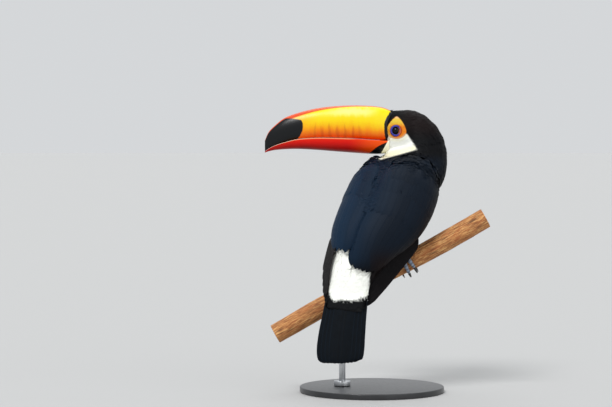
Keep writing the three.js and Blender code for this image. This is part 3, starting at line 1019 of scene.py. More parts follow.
    def eyeball(self) -> Material:
        """Dark brown iris and black pupil under a clear, wet surface."""
        paint = Paint("eyeball", 0.2)
        out = paint.attribute("out")
        colour = paint.mix(paint.noise(paint.here(), 900.0), srgb(12, 8, 6), srgb(24, 15, 9))
        colour = paint.mix(out.step(0.42, 0.36), colour, srgb(4, 4, 5))
        colour = paint.mix(out.step(0.66, 0.74), colour, srgb(12, 9, 9))
        return paint.finish(colour, paint.lerp(out, 0.06, 0.1))

    def scutes(self) -> Material:
        """Scaly skin of toes and shanks: pale blue-grey plates with darker creases."""
        paint = Paint("foot_scales")
        cloud = paint.group(self.mottle, Place=paint.here(), Size=200.0, Sharpness=0.5)
        colour = paint.mix(cloud["Amount"], srgb(104, 122, 146), srgb(150, 160, 174))
        colour = paint.mix(paint.attribute("crease") * 0.7, colour, srgb(46, 52, 66))
        return paint.finish(colour, paint.lerp(cloud["Grain"], 0.4, 0.62), cloud["Grain"], 0.12)

    def bark(self) -> Material:
        """Weathered branch: streaks and flakes along it, pale where it is worn, ringed at its cuts."""
        paint = Paint("bark")
        # A frame whose x runs along the branch.
        place = paint.here((1.0, 1.0, 1.0), (0.0, math.atan(PERCH_SLOPE), 0.0))
        streaks = paint.noise(paint.mapped(place, (0.1, 1.0, 1.0)), 760.0, 5.0, 0.72, 0.4)
        flakes = paint.noise(paint.mapped(place, (0.3, 1.0, 1.0)), 150.0, 4.0, 0.6)
        cloud = paint.group(self.mottle, Place=place, Size=38.0, Sharpness=0.4)
        colour = paint.ramp(
            streaks,
            (0.3, srgb(92, 50, 24)),
            (0.42, srgb(150, 92, 48)),
            (0.52, srgb(194, 132, 76)),
            (0.62, srgb(224, 176, 112)),
            (0.74, srgb(240, 212, 162)),
        )
        colour = paint.mix(flakes.step(0.5, 0.66) * 0.6, colour, srgb(168, 92, 46))
        colour = paint.mix(cloud["Amount"] * 0.3, colour, srgb(132, 82, 46))
        colour = paint.mix(paint.attribute("pit") * 0.75, colour, srgb(52, 28, 16))
        rings = ((paint.attribute("core") + flakes * 0.1) * 70.0).sine()
        wood = paint.mix(rings.step(-0.6, 0.8), srgb(196, 158, 110), srgb(158, 112, 68))
        colour = paint.mix(paint.attribute("cut"), colour, wood)
        return paint.finish(colour, paint.lerp(streaks, 0.72, 0.92), streaks + flakes * 0.8, 0.9)


# ---- Skin ---------------------------------------------------------------------------------------


@dataclass
class EyeFrame:
    """The eye's own directions: out of the head, up and forward. Millimetres."""

    side: int
    forward_tilt: float = 3.0

    def axes(self) -> tuple[Array, Array, Array, Array]:
        """Centre of the eyeball, then the outward, upward and forward directions."""
        tilt = math.radians(self.forward_tilt)
        centre = np.array([EYE_X, HEAD_Y + self.side * EYE_OUT, EYE_Z])
        outward = unit(np.array([-math.sin(tilt), self.side * math.cos(tilt), 0.04]))
        up = unit(np.array([0, 0, 1.0]) - outward * outward[2])
        return centre, outward, up, np.cross(up, outward) * -self.side

    def polar(self, p: Array) -> tuple[Array, Array, Array]:
        """Distance from the eye's axis, angle round it and height along it, for points."""
        centre, outward, up, forward = self.axes()
        off = p - centre
        x, z = off @ forward, off @ up
        return np.hypot(x, z), np.arctan2(z, x), off @ outward


@dataclass
class Skin:
    """One skin over trunk, neck, head, thighs and wings, inside them by the coat's depth."""

    markings: Markings
    voxel: float = 1.8
    rounds: int = 12
    face_reach: float = 25.0
    nodes: tuple[str, ...] = ("trunk", "neck", "head", "thigh_left", "thigh_right", "wing_left", "wing_right")
    fold: float = 0.28
    under_wing: float = 3.0
    # The forehead and cheeks carried on into the bill's root, the rump over the tail's root, and the
    # hollow between the nape and the right shoulder.
    plugs: dict[str, Spine] = field(
        default_factory=lambda: {
            "brow": Spine(
                (62, HEAD_Y, 402.5, 29, 34, 36, None),
                (46, HEAD_Y, 403, 28, 34.5, 38, None),
                (35, HEAD_Y, 403, 24, 34, 37, None),
                (26, HEAD_Y, 402.5, 18.6, 32.5, 33, None),
                (12, HEAD_Y, 402, 11, 24, 22, None),
            ),
            "rump": Spine(
                (-33, -55, 196, 31, 14, 10, 9),
                (-37, -62, 172, 32, 10.5, 8, 9),
                (-41, -68, 152, 32, 7, 6, 9),
                (-43, -71.5, 141, 31, 4.5, 4, 9),
                (-45, -75, 130, 28, 3, 3, 9),
            ),
            "collar": Spine(
                (27, -17, 350, 3, 3, 3, None),
                (46, -3, 360.5, 5.5, 5.5, 5.5, None),
                (58, -5, 362.5, 6.5, 6.5, 6.5, None),
                (74, -8, 358.5, 7, 7, 7, None),
                (92, -4, 348.5, 6.5, 6.5, 6.5, None),
                (100, 1, 338, 3.5, 3.5, 3.5, None),
            ),
        }
    )
    tree: BVHTree | None = None
    outline: BVHTree | None = None

    def copies(self) -> Object:
        """Merged copies of the solids, in one piece."""
        pieces = []
        for name in self.nodes:
            bm = bmesh.new()
            bm.from_mesh(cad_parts[name].data)
            pieces.append(shelled(bm, f"{name}_copy", 1e-6))
        return joined("skin_whole", pieces + [self.plug(name, spine) for name, spine in self.plugs.items()])

    @staticmethod
    def plug(name: str, spine: Spine) -> Object:
        """A closed body that bridges two parts."""

        def place(t: Array, angle: Array) -> Array:
            shut = ((t < 1e-9) | (t > 1 - 1e-9))[:, None]
            return np.where(shut, spine.line.at(t), spine.surface(t, angle))

        return lofted(name, place, 48, 24, uv=False)

    def filled(self, mesh: Mesh, rounds: int = 150, most: float = 12.0) -> Array:
        """The outline's points with the creases at neck, back and rump filled from inside out."""
        p, n = coordinates(mesh), normals_of(mesh)
        ends = np.empty(len(mesh.edges) * 2, int)
        mesh.edges.foreach_get("vertices", ends)
        a, b = ends.reshape(-1, 2).T
        both, other = np.concatenate([a, b]), np.concatenate([b, a])
        count = np.bincount(both, minlength=len(p))[:, None]
        z = p[:, 2]
        back = rise(0.0, 0.3, np.sin(self.markings.lines.on_trunk(p)[1]))
        where = np.maximum(rise(300, 325, z), back * rise(240, 310, z)) * fall(366, 382, z)
        where = np.maximum(where, back * fall(195, 215, z))
        for _ in range(3):
            soft = p.copy()
            for _ in range(rounds):
                total = np.stack([np.bincount(both, soft[other, k], len(p)) for k in range(3)], 1)
                soft = total / np.maximum(count, 1)
            way = soft - p
            way = way * np.minimum(1, most / np.maximum(np.linalg.norm(way, axis=1), TINY))[:, None]
            p = p + way * (where * rise(0.0, 0.8, (way * n).sum(1)))[:, None]
        return p

    def depth(self, p: Array) -> Array:
        """How thick the coat is at points of the outline."""
        bare = self.markings.bare(p)
        on_head = rise(352, 375, p[:, 2]) * rise(-20, 0, p[:, 0])
        deep = 3.6 - 2.8 * on_head
        deep = deep - 0.2 * on_head * fall(1.2, 2.0, bare)
        deep = deep * (0.35 + 0.65 * rise(150, 200, p[:, 2]))
        return np.where((bare < 1.05) & (on_head > 0.5), 0.25, deep)

    def build(self, materials: Materials) -> Object:
        """Remeshes the copies into the skin and dresses it.

        Args:
            materials: the model's materials.

        Returns:
            The skin.
        """
        whole = self.copies()
        remesh = whole.modifiers.new("remesh", "REMESH")
        remesh.mode = "VOXEL"
        remesh.voxel_size = self.voxel * MM
        smooth = whole.modifiers.new("smooth", "SMOOTH")
        smooth.factor = 0.5
        smooth.iterations = self.rounds
        graph = bpy.context.evaluated_depsgraph_get()
        mesh = bpy.data.meshes.new_from_object(whole.evaluated_get(graph))
        bpy.data.objects.remove(whole)
        bm = bmesh.new()
        bm.from_mesh(mesh)
        self.refine(bm)
        bmesh.ops.triangulate(bm, faces=bm.faces)
        bm.to_mesh(mesh)
        bm.free()
        move_to(mesh, self.filled(mesh))
        self.outline = bvh_of(mesh)
        p, n = coordinates(mesh), normals_of(mesh)
        winged = rise(0.0, 0.15, self.markings.lines.winged(p))
        p = self.folded(p - n * (self.depth(p) + self.under_wing * winged)[:, None], n)
        move_to(mesh, p)
        self.tree = bvh_of(mesh)
        self.markings.store(mesh, p)
        self.tint_face(mesh, p)
        self.unwrap(mesh)
        return dressed(finished(mesh, "skin"), materials.skin())

    def tint_face(self, mesh: Mesh, p: Array) -> None:
        """Stores where the bare skin is yellow or pale, and its red rim round each eye."""
        bare = self.markings.bare(p)
        x, y, z = p.T
        front = rise(0.5, 1.0, bare) * fall(EYE_X - 9, EYE_X - 3, x)
        low = rise(0.72, 1.0, bare) * fall(EYE_Z - 7, EYE_Z - 2, z)
        set_attribute(mesh, "bare_yellow", np.maximum(rise(EYE_Z + 5, EYE_Z + 14, z), 0.8 * front))
        set_attribute(mesh, "bare_pale", np.maximum(rise(EYE_Z + 17, EYE_Z + 23, z), 0.9 * low))
        far = 99  # keeps each eye's rim to its own side of the head
        gaps = (EyeFrame(side).polar(p)[0] + far * (np.sign(y - HEAD_Y) != side) for side in SIDES)
        set_attribute(mesh, "bare_rim", pyramid(np.minimum(*gaps), 7.0, 8.6, 10.4))

    def refine(self, bm: BMesh) -> None:
        """Cuts the faces round both eyes finer."""
        for reach in (self.face_reach, self.face_reach * 0.8):
            near = []
            for edge in bm.edges:
                middle = (edge.verts[0].co + edge.verts[1].co) / 2 / MM
                for side in SIDES:
                    eye = Vector((EYE_X, HEAD_Y + side * EYE_OUT, EYE_Z))
                    if (middle - eye).length < reach:
                        near.append(edge)
            bmesh.ops.subdivide_edges(bm, edges=list(set(near)), cuts=1, use_grid_fill=True, smooth=0.3)

    def folded(self, p: Array, n: Array) -> Array:
        """Adds the creases round the eyes.

        Args:
            p: points.
            n: their normals.

        Returns:
            The points, moved.
        """
        lift = np.zeros(len(p))
        for side in SIDES:
            r, turn, _ = EyeFrame(side).polar(p)
            same = np.sign(p[:, 1] - HEAD_Y) == side
            wave = r + 0.35 * np.sin(3 * turn + 1) + 0.25 * np.sin(7 * turn)
            lift -= same * 1.6 * fall(5.5, 8.0, r)
            rings = np.sin(2 * np.pi * wave / 2.1) * pyramid(r, 8.0, 9.5, 15.5)
            spokes = np.sin(13 * turn + 0.8 * np.sin(r)) * pyramid(r, 8.5, 12.0, 18.0) * 0.5
            lift += same * self.fold * (rings + spokes) * (self.markings.bare(p) < 1.1)
        return p + n * lift[:, None]

    def chart(self, p: Array, head: Array) -> tuple[Array, Array]:
        """Place on the skin's unwrap: turn round the body in radians, and length along it."""
        lines = self.markings.lines
        a_head, turn_head = lines.on_head(p)
        a_trunk, turn_trunk = lines.on_trunk(p)
        along = np.where(head, 0.02 + 0.4 * a_head, 0.48 + 0.5 * a_trunk)
        return np.where(head, turn_head, turn_trunk), along

    @staticmethod
    def spread(turn: Array, along: Array) -> Array:
        """Places on the map for places on the unwrap."""
        return np.stack([0.5 + turn / (2 * np.pi) * 0.94, along], -1)

    @staticmethod
    def on_head(p: Array) -> Array:
        """Whether points belong to the neck's and head's part of the unwrap."""
        return p[:, 2] > 345 - 0.25 * (p[:, 0] - 40)

    def unwrap(self, mesh: Mesh) -> None:
        """Opens the skin along its own lines."""
        p, corners = coordinates(mesh), corners_of(mesh)
        middle = p[corners.reshape(-1, 3)].mean(1)
        head = self.on_head(middle)
        swing = np.repeat(self.chart(middle, head)[0], 3)
        turn, along = self.chart(p[corners], np.repeat(head, 3))
        turn = swing + (turn - swing + np.pi) % (2 * np.pi) - np.pi
        set_map(mesh, self.spread(turn, along))


# ---- Coat ---------------------------------------------------------------------------------------


class Vane:
    """A small feather's shape: a thin, arched leaf with a ridge along its middle, in unit size."""

    def __init__(self, rows: list[tuple[float, float]], arch: float, thick: float) -> None:
        """Args:
        rows: place along the feather and width there, both 0 to 1; it ends in a point.
        arch: how far its edges hang below its middle, as a share of its width.
        thick: its thickness at the middle, as a share of its width.
        """
        bm = bmesh.new()
        ring = bmesh.ops.create_circle(bm, cap_ends=True, segments=4, radius=0.5)["verts"]
        self.shape(ring, *rows[0], arch, thick)
        face = bm.faces[:][0]
        for row in rows[1:]:
            grown = bmesh.ops.extrude_face_region(bm, geom=[face])["geom"]
            face = next(g for g in grown if isinstance(g, BMFace))
            bm.verts.index_update()
            self.shape(face.verts, *row, arch, thick)
        end = bmesh.ops.poke(bm, faces=[face])["verts"][0]
        end.co = (0, 1, -arch * 0.1)
        bmesh.ops.recalc_face_normals(bm, faces=bm.faces)
        bm.verts.index_update()
        self.points = np.array([v.co for v in bm.verts])
        self.faces = [[v.index for v in f.verts] for f in bm.faces]
        bm.free()

    @staticmethod
    def shape(verts: list, along: float, width: float, arch: float, thick: float) -> None:
        """Sets one ring of four: two edges, the ridge and the underside."""
        for vert in verts:
            x = vert.co.x
            if abs(x) > 1e-3:
                vert.co = (math.copysign(0.5 * width, x), along, -arch * width)
            else:
                above = vert.co.y > 0 if along == 0 and vert.co.z == 0 else vert.co.z > -1e-4
                vert.co = (0, along, thick * width if above else -0.35 * thick * width - 0.001)


@dataclass
class Plumes:
    """Many feathers, each rooted in the skin at its own depth and rising to its height over the outline."""

    tree: BVHTree
    root: Array
    way: Array
    length: Array
    width: Array
    height: Array
    depth: Array
    tone: Array

    def walk(self, stops: Array) -> tuple[Array, Array]:
        """Goes from each root along the skin.

        Args:
            stops: shares of the length at which to stop.

        Returns:
            The places reached, and the normals there: one row for each stop.
        """
        p, n = nearest(self.tree, self.root)
        way = laid(self.way, n)
        places, normals = [p], [n]
        for last, now in zip(stops[:-1], stops[1:]):
            p, n = nearest(self.tree, p + way * (self.length * (now - last))[:, None])
            way = laid(way, n)
            places.append(p)
            normals.append(n)
        return np.array(places), np.array(normals)

    def mesh(self, name: str, vane: Vane) -> Mesh:
        """All the feathers as one mesh.

        Args:
            name: the mesh's name.
            vane: their shape.

        Returns:
            The mesh, with its numbers across, down and tone.
        """
        stops, at = np.unique(np.round(vane.points[:, 1], 4), return_inverse=True)
        places, normals = self.walk(stops)
        count, size = len(self.root), len(vane.points)
        way = unit(places[np.minimum(at + 1, len(stops) - 1)] - places[np.maximum(at - 1, 0)])
        n = normals[at]
        side = unit(np.cross(way, n))
        x, y, z = vane.points.T[..., None]
        up = (self.height + self.depth)[None] * (y**0.48 * 0.75 + y * 0.25) - self.depth[None]
        p = places[at] + side * (x * self.width)[..., None] + n * (z * self.width + up)[..., None]
        p = p.transpose(1, 0, 2).reshape(-1, 3)
        mesh = bpy.data.meshes.new(name)
        flat = np.concatenate(vane.faces)
        totals = np.tile([len(f) for f in vane.faces], count)
        corners = np.tile(flat, count) + np.repeat(np.arange(count) * size, len(flat))
        mesh.vertices.add(len(p))
        mesh.vertices.foreach_set("co", (p * MM).ravel())
        mesh.loops.add(len(corners))
        mesh.loops.foreach_set("vertex_index", corners)
        mesh.polygons.add(len(totals))
        mesh.polygons.foreach_set("loop_start", np.concatenate([[0], np.cumsum(totals)[:-1]]))
        mesh.update(calc_edges=True)
        set_attribute(mesh, "across", np.tile(vane.points[:, 0] + 0.5, count))
        set_attribute(mesh, "down", np.tile(vane.points[:, 1], count))
        set_attribute(mesh, "tone", np.repeat(self.tone, size))
        return mesh


@dataclass(frozen=True)
class Kind:
    """How the feathers of one part of the body are: spacing, length, width and height over the outline."""

    name: str
    spacing: float
    length: float
    width: float
    height: float
    spread: float
    tone: float
    rows: tuple[tuple[float, float], ...]
    arch: float = 0.022


ROUND = ((0.0, 0.3), (0.3, 0.82), (0.62, 1.0), (0.86, 0.74), (0.97, 0.34))
SLIM = ((0.0, 0.3), (0.35, 0.9), (0.7, 0.7), (0.92, 0.3))
WIDE = ((0.0, 0.4), (0.3, 0.9), (0.6, 1.0), (0.82, 0.86), (0.94, 0.55))


class Cover(Enum):
    """The parts of the coat."""

    FACE = Kind("face", 1.6, 6.0, 2.4, 0.2, 4.0, 0.3, SLIM)
    THROAT = Kind("throat", 2.1, 10.0, 4.6, 0.2, 3.0, 0.3, ROUND, 0.012)
    CROWN = Kind("crown", 2.4, 10.0, 4.4, 1.5, 3.0, 0.4, ROUND)
    NAPE = Kind("nape", 2.9, 16.0, 6.4, 1.2, 3.0, 0.4, ROUND)
    MANTLE = Kind("mantle", 3.4, 16.0, 8.5, 1.2, 3.0, 0.35, WIDE)
    BREAST = Kind("breast", 4.0, 18.0, 8.0, 0.0, 5.0, 0.4, ROUND)
    FLANK = Kind("flank", 3.7, 20.0, 6.5, 0.0, 6.0, 0.5, ROUND)
    RUMP = Kind("rump", 2.9, 20.0, 7.5, -0.2, 3.0, 0.3, ROUND, 0.01)
    THIGH = Kind("thigh", 2.6, 11.0, 4.4, -1.0, 6.0, 0.5, ROUND)
    WING = Kind("lesser_coverts", 3.4, 11.0, 7.5, 0.5, 3.0, 0.3, WIDE)


@dataclass
class Coat:
    """The body's feathers, denser and smaller towards the face."""

    skin: Skin
    markings: Markings
    seed: int = SEED
    tries: float = 7.0
    limit: int = 190000

    def cover_at(self, p: Array) -> Array:
        """Which part of the coat each point belongs to, as a number in the Enum's order."""
        x, y, z = p.T
        lines = self.markings.lines
        share, _ = lines.on_head(p)
        along, angle = lines.on_trunk(p)
        backward = np.sin(angle)
        shares = [lines.wing_share(side, p) for side in SIDES]
        free = (shares[0] <= 0) & (shares[1] <= 0)
        on_head = self.skin.on_head(p) & free
        white = self.markings.at(p)[Mark.WHITE]
        bare = self.markings.bare(p)
        rules = {
            Cover.MANTLE: np.full(len(p), True),
            Cover.BREAST: backward < 0.25,
            Cover.FLANK: (z < 262) & (backward < 0.45),
            Cover.RUMP: (white > 0.5) & (z < 262),
            Cover.NAPE: (z > 322) & free | on_head,
            Cover.CROWN: on_head & (share > 0.42),
            Cover.THROAT: on_head & (white > 0.3),
            Cover.FACE: (bare < 1.7) & (share > 0.5) & on_head,
            Cover.THIGH: self.near_thigh(p),
        }
        which = np.empty(len(p), int)
        for cover, here in rules.items():
            which[here] = list(Cover).index(cover)
        cape = (z > 292) & (backward > 0.3) & (shares[0] < 0.3) & (shares[1] < 0.3)
        which[~free & ~cape] = list(Cover).index(Cover.WING)
        # Leaves, not small feathers, cover most of each wing.
        which[~free & ~cape & (along < 0.62)] = -1
        which[~free & (along < 0.45)] = -1
        bald = (bare < 1.0) & on_head & (share > 0.5)
        bald |= (z < 190) & (x > -1) & (backward > -0.2) & (y < -35)
        bald |= z < 152
        which[bald] = -1
        return which

    @staticmethod
    def near_thigh(p: Array) -> Array:
        """Whether points are on the thighs."""
        found = np.zeros(len(p), bool)
        for a, b in THIGHS:
            t = np.clip(((p - a) @ (b - a)) / ((b - a) @ (b - a)), 0, 0.75)
            gap = np.linalg.norm(p - (a + t[:, None] * (b - a)), axis=1)
            found |= gap < 9 + 15 * t + 1.5
        return found

    def scatter(self, mesh: Mesh, rng: np.random.Generator) -> tuple[Array, Array]:
        """Throws roots on the skin so that none is closer to another than its part's spacing.

        Args:
            mesh: the skin.
            rng: source of chance.

        Returns:
            The roots and their parts.
        """
        a, b, c = coordinates(mesh)[corners_of(mesh).reshape(-1, 3).T]
        area = np.linalg.norm(np.cross(b - a, c - a), axis=1) / 2
        middle = self.cover_at((a + b + c) / 3)
        roots, parts = [], []
        for i, cover in enumerate(Cover):
            mine = np.flatnonzero(middle == i)
            if not len(mine):
                continue
            space = cover.value.spacing
            total = area[mine].sum()
            count = int(self.tries * total / space**2)
            picks = rng.choice(mine, count, p=area[mine] / total)
            u, v = rng.random(count), rng.random(count)
            flip = u + v > 1
            u[flip], v[flip] = 1 - u[flip], 1 - v[flip]
            places = a[picks] + u[:, None] * (b - a)[picks] + v[:, None] * (c - a)[picks]
            kept = self.spaced(places, space)
            roots.append(places[kept])
            parts.append(np.full(len(kept), i))
        return np.vstack(roots), np.concatenate(parts)

    @staticmethod
    def spaced(places: Array, space: float) -> list[int]:
        """Numbers of the places that are kept, none closer than space to another."""
        cells: dict[tuple[int, int, int], list[tuple[float, float, float]]] = {}
        kept: list[int] = []
        limit = space * space
        around = [(i, j, k) for i in (-1, 0, 1) for j in (-1, 0, 1) for k in (-1, 0, 1)]
        keys = np.floor(places / space).astype(int).tolist()
        for n, ((i, j, k), (x, y, z)) in enumerate(zip(keys, places.tolist())):
            near = (cells.get((i + di, j + dj, k + dk), ()) for di, dj, dk in around)
            if all((x - a) ** 2 + (y - b) ** 2 + (z - c) ** 2 >= limit for cell in near for a, b, c in cell):
                cells.setdefault((i, j, k), []).append((x, y, z))
                kept.append(n)
        return kept

    def way(self, p: Array, parts: Array) -> Array:
        """Which way the feathers lie."""
        lines = self.markings.lines
        lie = lines.lie(p)
        along, _ = lines.on_trunk(p)
        down = lines.trunk_lie[np.round(along * (lines.STEPS - 1)).astype(int)]
        rule = rise(0.0, 0.15, lines.winged(p))
        rule = np.maximum(rule, fall(356, 368, p[:, 2]) * fall(24, 40, p[:, 0]))
        lie = lie + (down - lie) * rule[:, None]
        thigh = parts == list(Cover).index(Cover.THIGH)
        for a, b in THIGHS:
            lie[thigh & (np.linalg.norm(p - (a + b) / 2, axis=1) < 45)] = unit(a - b)
        face = self.markings.bare(p)
        eye = np.array([EYE_X, HEAD_Y, EYE_Z])
        away = unit((p - eye) * np.array([1, 0, 1]))
        pull = fall(1.0, 1.9, face) * rise(352, 380, p[:, 2])
        return unit(lie + 0.8 * pull[:, None] * away)

    def build(self, mesh: Mesh, materials: Materials) -> list[Object]:
        """Makes the coat's pieces.

        Args:
            mesh: the skin's mesh.
            materials: the model's materials.

        Returns:
            The pieces.
        """
        rng = np.random.default_rng(self.seed)
        roots, parts = self.scatter(mesh, rng)
        material = materials.feathers("plumage", 9.0, 0.04)
        pieces = []
        for i, cover in enumerate(Cover):
            kind = cover.value
            mine = np.flatnonzero(parts == i)
            if not len(mine):
                continue
            vane = Vane(list(kind.rows), kind.arch, 0.013)
            faces = sum(len(f) - 2 for f in vane.faces)
            share = max(1, math.ceil(len(mine) * faces / self.limit))
            for k in range(share):
                some = mine[k::share]
                name = f"coat_{kind.name}" + (f"_{k + 1}" if share > 1 else "")
                pieces.append(dressed(self.piece(name, kind, vane, roots[some], parts[some], rng), material))
        return pieces

    def piece(
        self, name: str, kind: Kind, vane: Vane, p: Array, parts: Array, rng: np.random.Generator
    ) -> Object:
        """One piece of the coat.

        Args:
            name: its name.
            kind: what its feathers are like.
            vane: their shape.
            p: their roots.
            parts: the parts they belong to.
            rng: source of chance.

        Returns:
            The piece.
        """
        count = len(p)
        turn = np.radians(rng.normal(0, kind.spread, count))[:, None]
        _, n = nearest(self.skin.tree, p)
        way = laid(self.way(p, parts), n)
        way = way * np.cos(turn) + np.cross(n, way) * np.sin(turn)
        size = rng.uniform(0.92, 1.08, count)
        if kind is Cover.FACE.value:
            size = size * (0.55 + 0.45 * rise(1.0, 1.7, self.markings.bare(p)))
        tone = np.clip(0.5 + kind.tone * rng.normal(0, 0.3, count), 0, 1)
        plumes = Plumes(
            self.skin.outline, p, way, kind.length * size, kind.width * size,
            kind.height + rng.uniform(-0.15, 0.15, count), self.skin.depth(p) + 0.25, tone,
        )
        mesh = plumes.mesh(name, vane)
        self.markings.store(mesh, coordinates(mesh))
        self.patch(mesh, vane, p)
        return finished(mesh, name, False)

    def patch(self, mesh: Mesh, vane: Vane, p: Array, reach: float = 0.003) -> None:
        """Gives each feather its own small patch at its root's place on the skin's unwrap."""
        at = self.skin.spread(*self.skin.chart(p, self.skin.on_head(p)))
        uv = (at[:, None] + vane.points[None, :, :2] * reach).reshape(-1, 2)
        set_map(mesh, uv[corners_of(mesh)])


# ---- Wings and tail -----------------------------------------------------------------------------


def vane_marks(tone: float) -> dict[str, Surface]:
    """The places across and down a leaf or quill, and its own tone."""
    return {
        "across": lambda t, angle: 0.5 + 0.5 * np.cos(angle),
        "down": lambda t, angle: t,
        "tone": lambda t, angle: tone + 0 * t,
    }


@dataclass(frozen=True)
class WingRow:
    """A row of wing feathers: where it starts and ends along the trunk, and its feathers."""

    start: float
    end: float
    from_turn: float
    to_turn: float
    count: int
    width: float
    height: float
    to_outline: bool = False


@dataclass
class Wings:
    """Both folded wings' larger coverts and inner quills, as shaped leaves laid over each other."""

    markings: Markings
    seed: int = SEED + 1
    sides: int = 12
    steps: int = 14
    girth: float = 52.0
    rows: tuple[WingRow, ...] = (
        WingRow(0.6, 0.27, -14, 108, 13, 24, -0.9, True),
        WingRow(0.665, 0.505, -22, 100, 15, 16, -0.7),
        WingRow(0.705, 0.59, -22, 96, 17, 13.5, -0.6),
        WingRow(0.745, 0.65, -20, 88, 17, 12.5, -0.5),
    )

    def surface(self, side: int, along: Array, turn: Array, height: Array) -> Array:
        """Points over a wing.

        Args:
            side: 1 for the right wing and -1 for the left.
            along: places along the trunk.
            turn: degrees round it, from the wing's own side.
            height: how far over the wing.

        Returns:
            The points.
        """
        middle, half, thick = wing_at(side, along)
        inside = np.clip(1 - ((turn - middle) / np.maximum(half, TINY)) ** 2, 0, 1)
        lift = thick * np.sqrt(inside) ** 0.7
        return TRUNK.surface(along, np.radians(turn if side > 0 else 180 - turn), WING_EDGE + lift + height)

    def outline_end(self, side: int, turn: float, end: float) -> float:
        """Where along the trunk the wing's outline ends at a turn."""
        along = np.linspace(end, 0.6, 120)
        middle, half, _ = wing_at(side, along)
        inside = np.abs(turn - middle) < half * 0.97
        return float(along[inside.argmax()]) if inside.any() else 0.5

    def build(self, materials: Materials) -> list[Object]:
        """Makes both wings' leaves.

        Args:
            materials: the model's materials.

        Returns:
            One piece for each wing.
        """
        material = materials.feathers("wing_plumage", 34.0, 0.12, 0.35)
        pieces = []
        for side, name in ((1, "wing_coverts_right"), (-1, "wing_coverts_left")):
            rng = np.random.default_rng(self.seed + side)
            leaves = []
            for row in self.rows:
                for k in range(row.count):
                    share = (k + 0.5) / row.count
                    turn = row.from_turn + (row.to_turn - row.from_turn) * share
                    leaves.append(self.leaf(side, row, turn, share, rng))
            piece = joined(name, leaves)
            # Leaves keep only the brown tint and the painted blue reflection of the sky.
            for mark, amount in self.markings.at(coordinates(piece.data)).items():
                set_attribute(piece.data, mark.value, amount * (mark in (Mark.BLUE, Mark.BROWN)))
            pieces.append(dressed(piece, material))
        return pieces

    def leaf(self, side: int, row: WingRow, turn: float, share: float, rng: np.random.Generator) -> Object:
        """One wing feather.

        Args:
            side: 1 for the right wing and -1 for the left.
            row: the row that it belongs to.
            turn: degrees round the trunk at its root.
            share: its place in the row, 0 to 1.
            rng: source of chance.

        Returns:
            The leaf.
        """
        start, end = (raised(row.start), raised(row.end)) if side < 0 else (row.start, row.end)
        if row.to_outline:
            end = self.outline_end(side, turn, end)
        start += rng.uniform(-0.006, 0.006)
        stray = 0.003 if row.to_outline else 0.005 + 0.022 * share
        end += rng.uniform(-stray, stray)
        lean = rng.uniform(-1.5, 1.5)
        dip = 0.4 if row.to_outline else 1.3 - 0.9 * rise(0.6, 0.8, share)
        level = row.height + 0.45 * share + rng.uniform(-0.05, 0.05)
        tone = float(np.clip(0.5 + rng.normal(0, 0.13), 0, 1))

        def place(t: Array, angle: Array) -> Array:
            x = np.cos(angle)
            width = row.width * 0.5 * np.sqrt(np.clip(1 - np.abs(2 * t - 1.1) ** 4 * 0.68, 0, 1))
            width = width * np.sqrt(np.clip((1 - t) / 0.12, 0, 1))
            spread = turn + lean * t + np.degrees(x * width / self.girth)
            over = level - 1.6 * fall(0.0, 0.5, t) - 0.55 * x**2 * np.clip(width / 9, 0, 1)
            over = over + np.sin(angle) * (0.14 + 0.22 * np.exp(-((x / 0.12) ** 2)) * (1 - t))
            over = over + 0.3 * x * (1 - t * 0.4) - dip * rise(0.8, 1.0, t)
            return self.surface(side, start + (end - start) * t, spread, over)

        return lofted("leaf", place, self.sides, self.steps, 0.5, vane_marks(tone))


@dataclass(frozen=True)
class Quill:
    """A long quill: how its width changes along it and how it is arched."""

    width: float
    arch: float
    thick: float = 0.55


@dataclass(frozen=True)
class Fan:
    """Folded quills side by side in a plane: x and z of the outer edge's ends, and how they step in."""

    start: tuple[float, float] = (71.0, 224.0)
    end: tuple[float, float] = (-4.0, 136.0)
    step: float = 5.0
    width: float = 12.5
    count: int = 10
    lean: tuple[float, float] = (0.2, 0.235)
    through: tuple[float, float, float] = (14.0, -53.5, 180.0)
    stop_at: tuple[float, float] = (-3.5, 188.0)
    stop_slope: float = 0.1
    layer: float = 0.75
    tuck: tuple[float, float] = (20.0, 12.0)

    def line(self, k: int) -> Rail:
        """Middle, side and upper direction along quill k, 0 being the outermost."""
        start, end = np.array(self.start), np.array(self.end)
        way = unit(end - start)
        inward = np.array([way[1], -way[0]])
        first = start + inward * (self.width / 2 + k * self.step)
        # Where x meets the inner border, which itself slopes with z.
        gap = first[0] - self.stop_at[0] - self.stop_slope * (first[1] - self.stop_at[1])
        reach = gap / -(way[0] - self.stop_slope * way[1]) + 1.5
        a, b = self.lean
        up = unit(np.array([a, -1.0, b]))

        def at(t: Array) -> tuple[Array, Array, Array]:
            run = (reach + self.tuck[0]) * np.asarray(t) - self.tuck[0]
            bend = self.tuck[1] * (np.minimum(run, 0) / self.tuck[0]) ** 2
            x, z = first[:, None] + way[:, None] * run + inward[:, None] * bend
            y = self.through[1] + a * (x - self.through[0]) + b * (z - self.through[2])
            side = unit(np.array([inward[0], a * inward[0] + b * inward[1], inward[1]]))
            level = (k - self.count / 2) * self.layer - 8 * fall(-12.0, 30.0, run)
            middle = np.stack([x, y, z], 1) + up * level[:, None]
            return middle, np.tile(side, (len(x), 1)), np.tile(up, (len(x), 1))

        return at


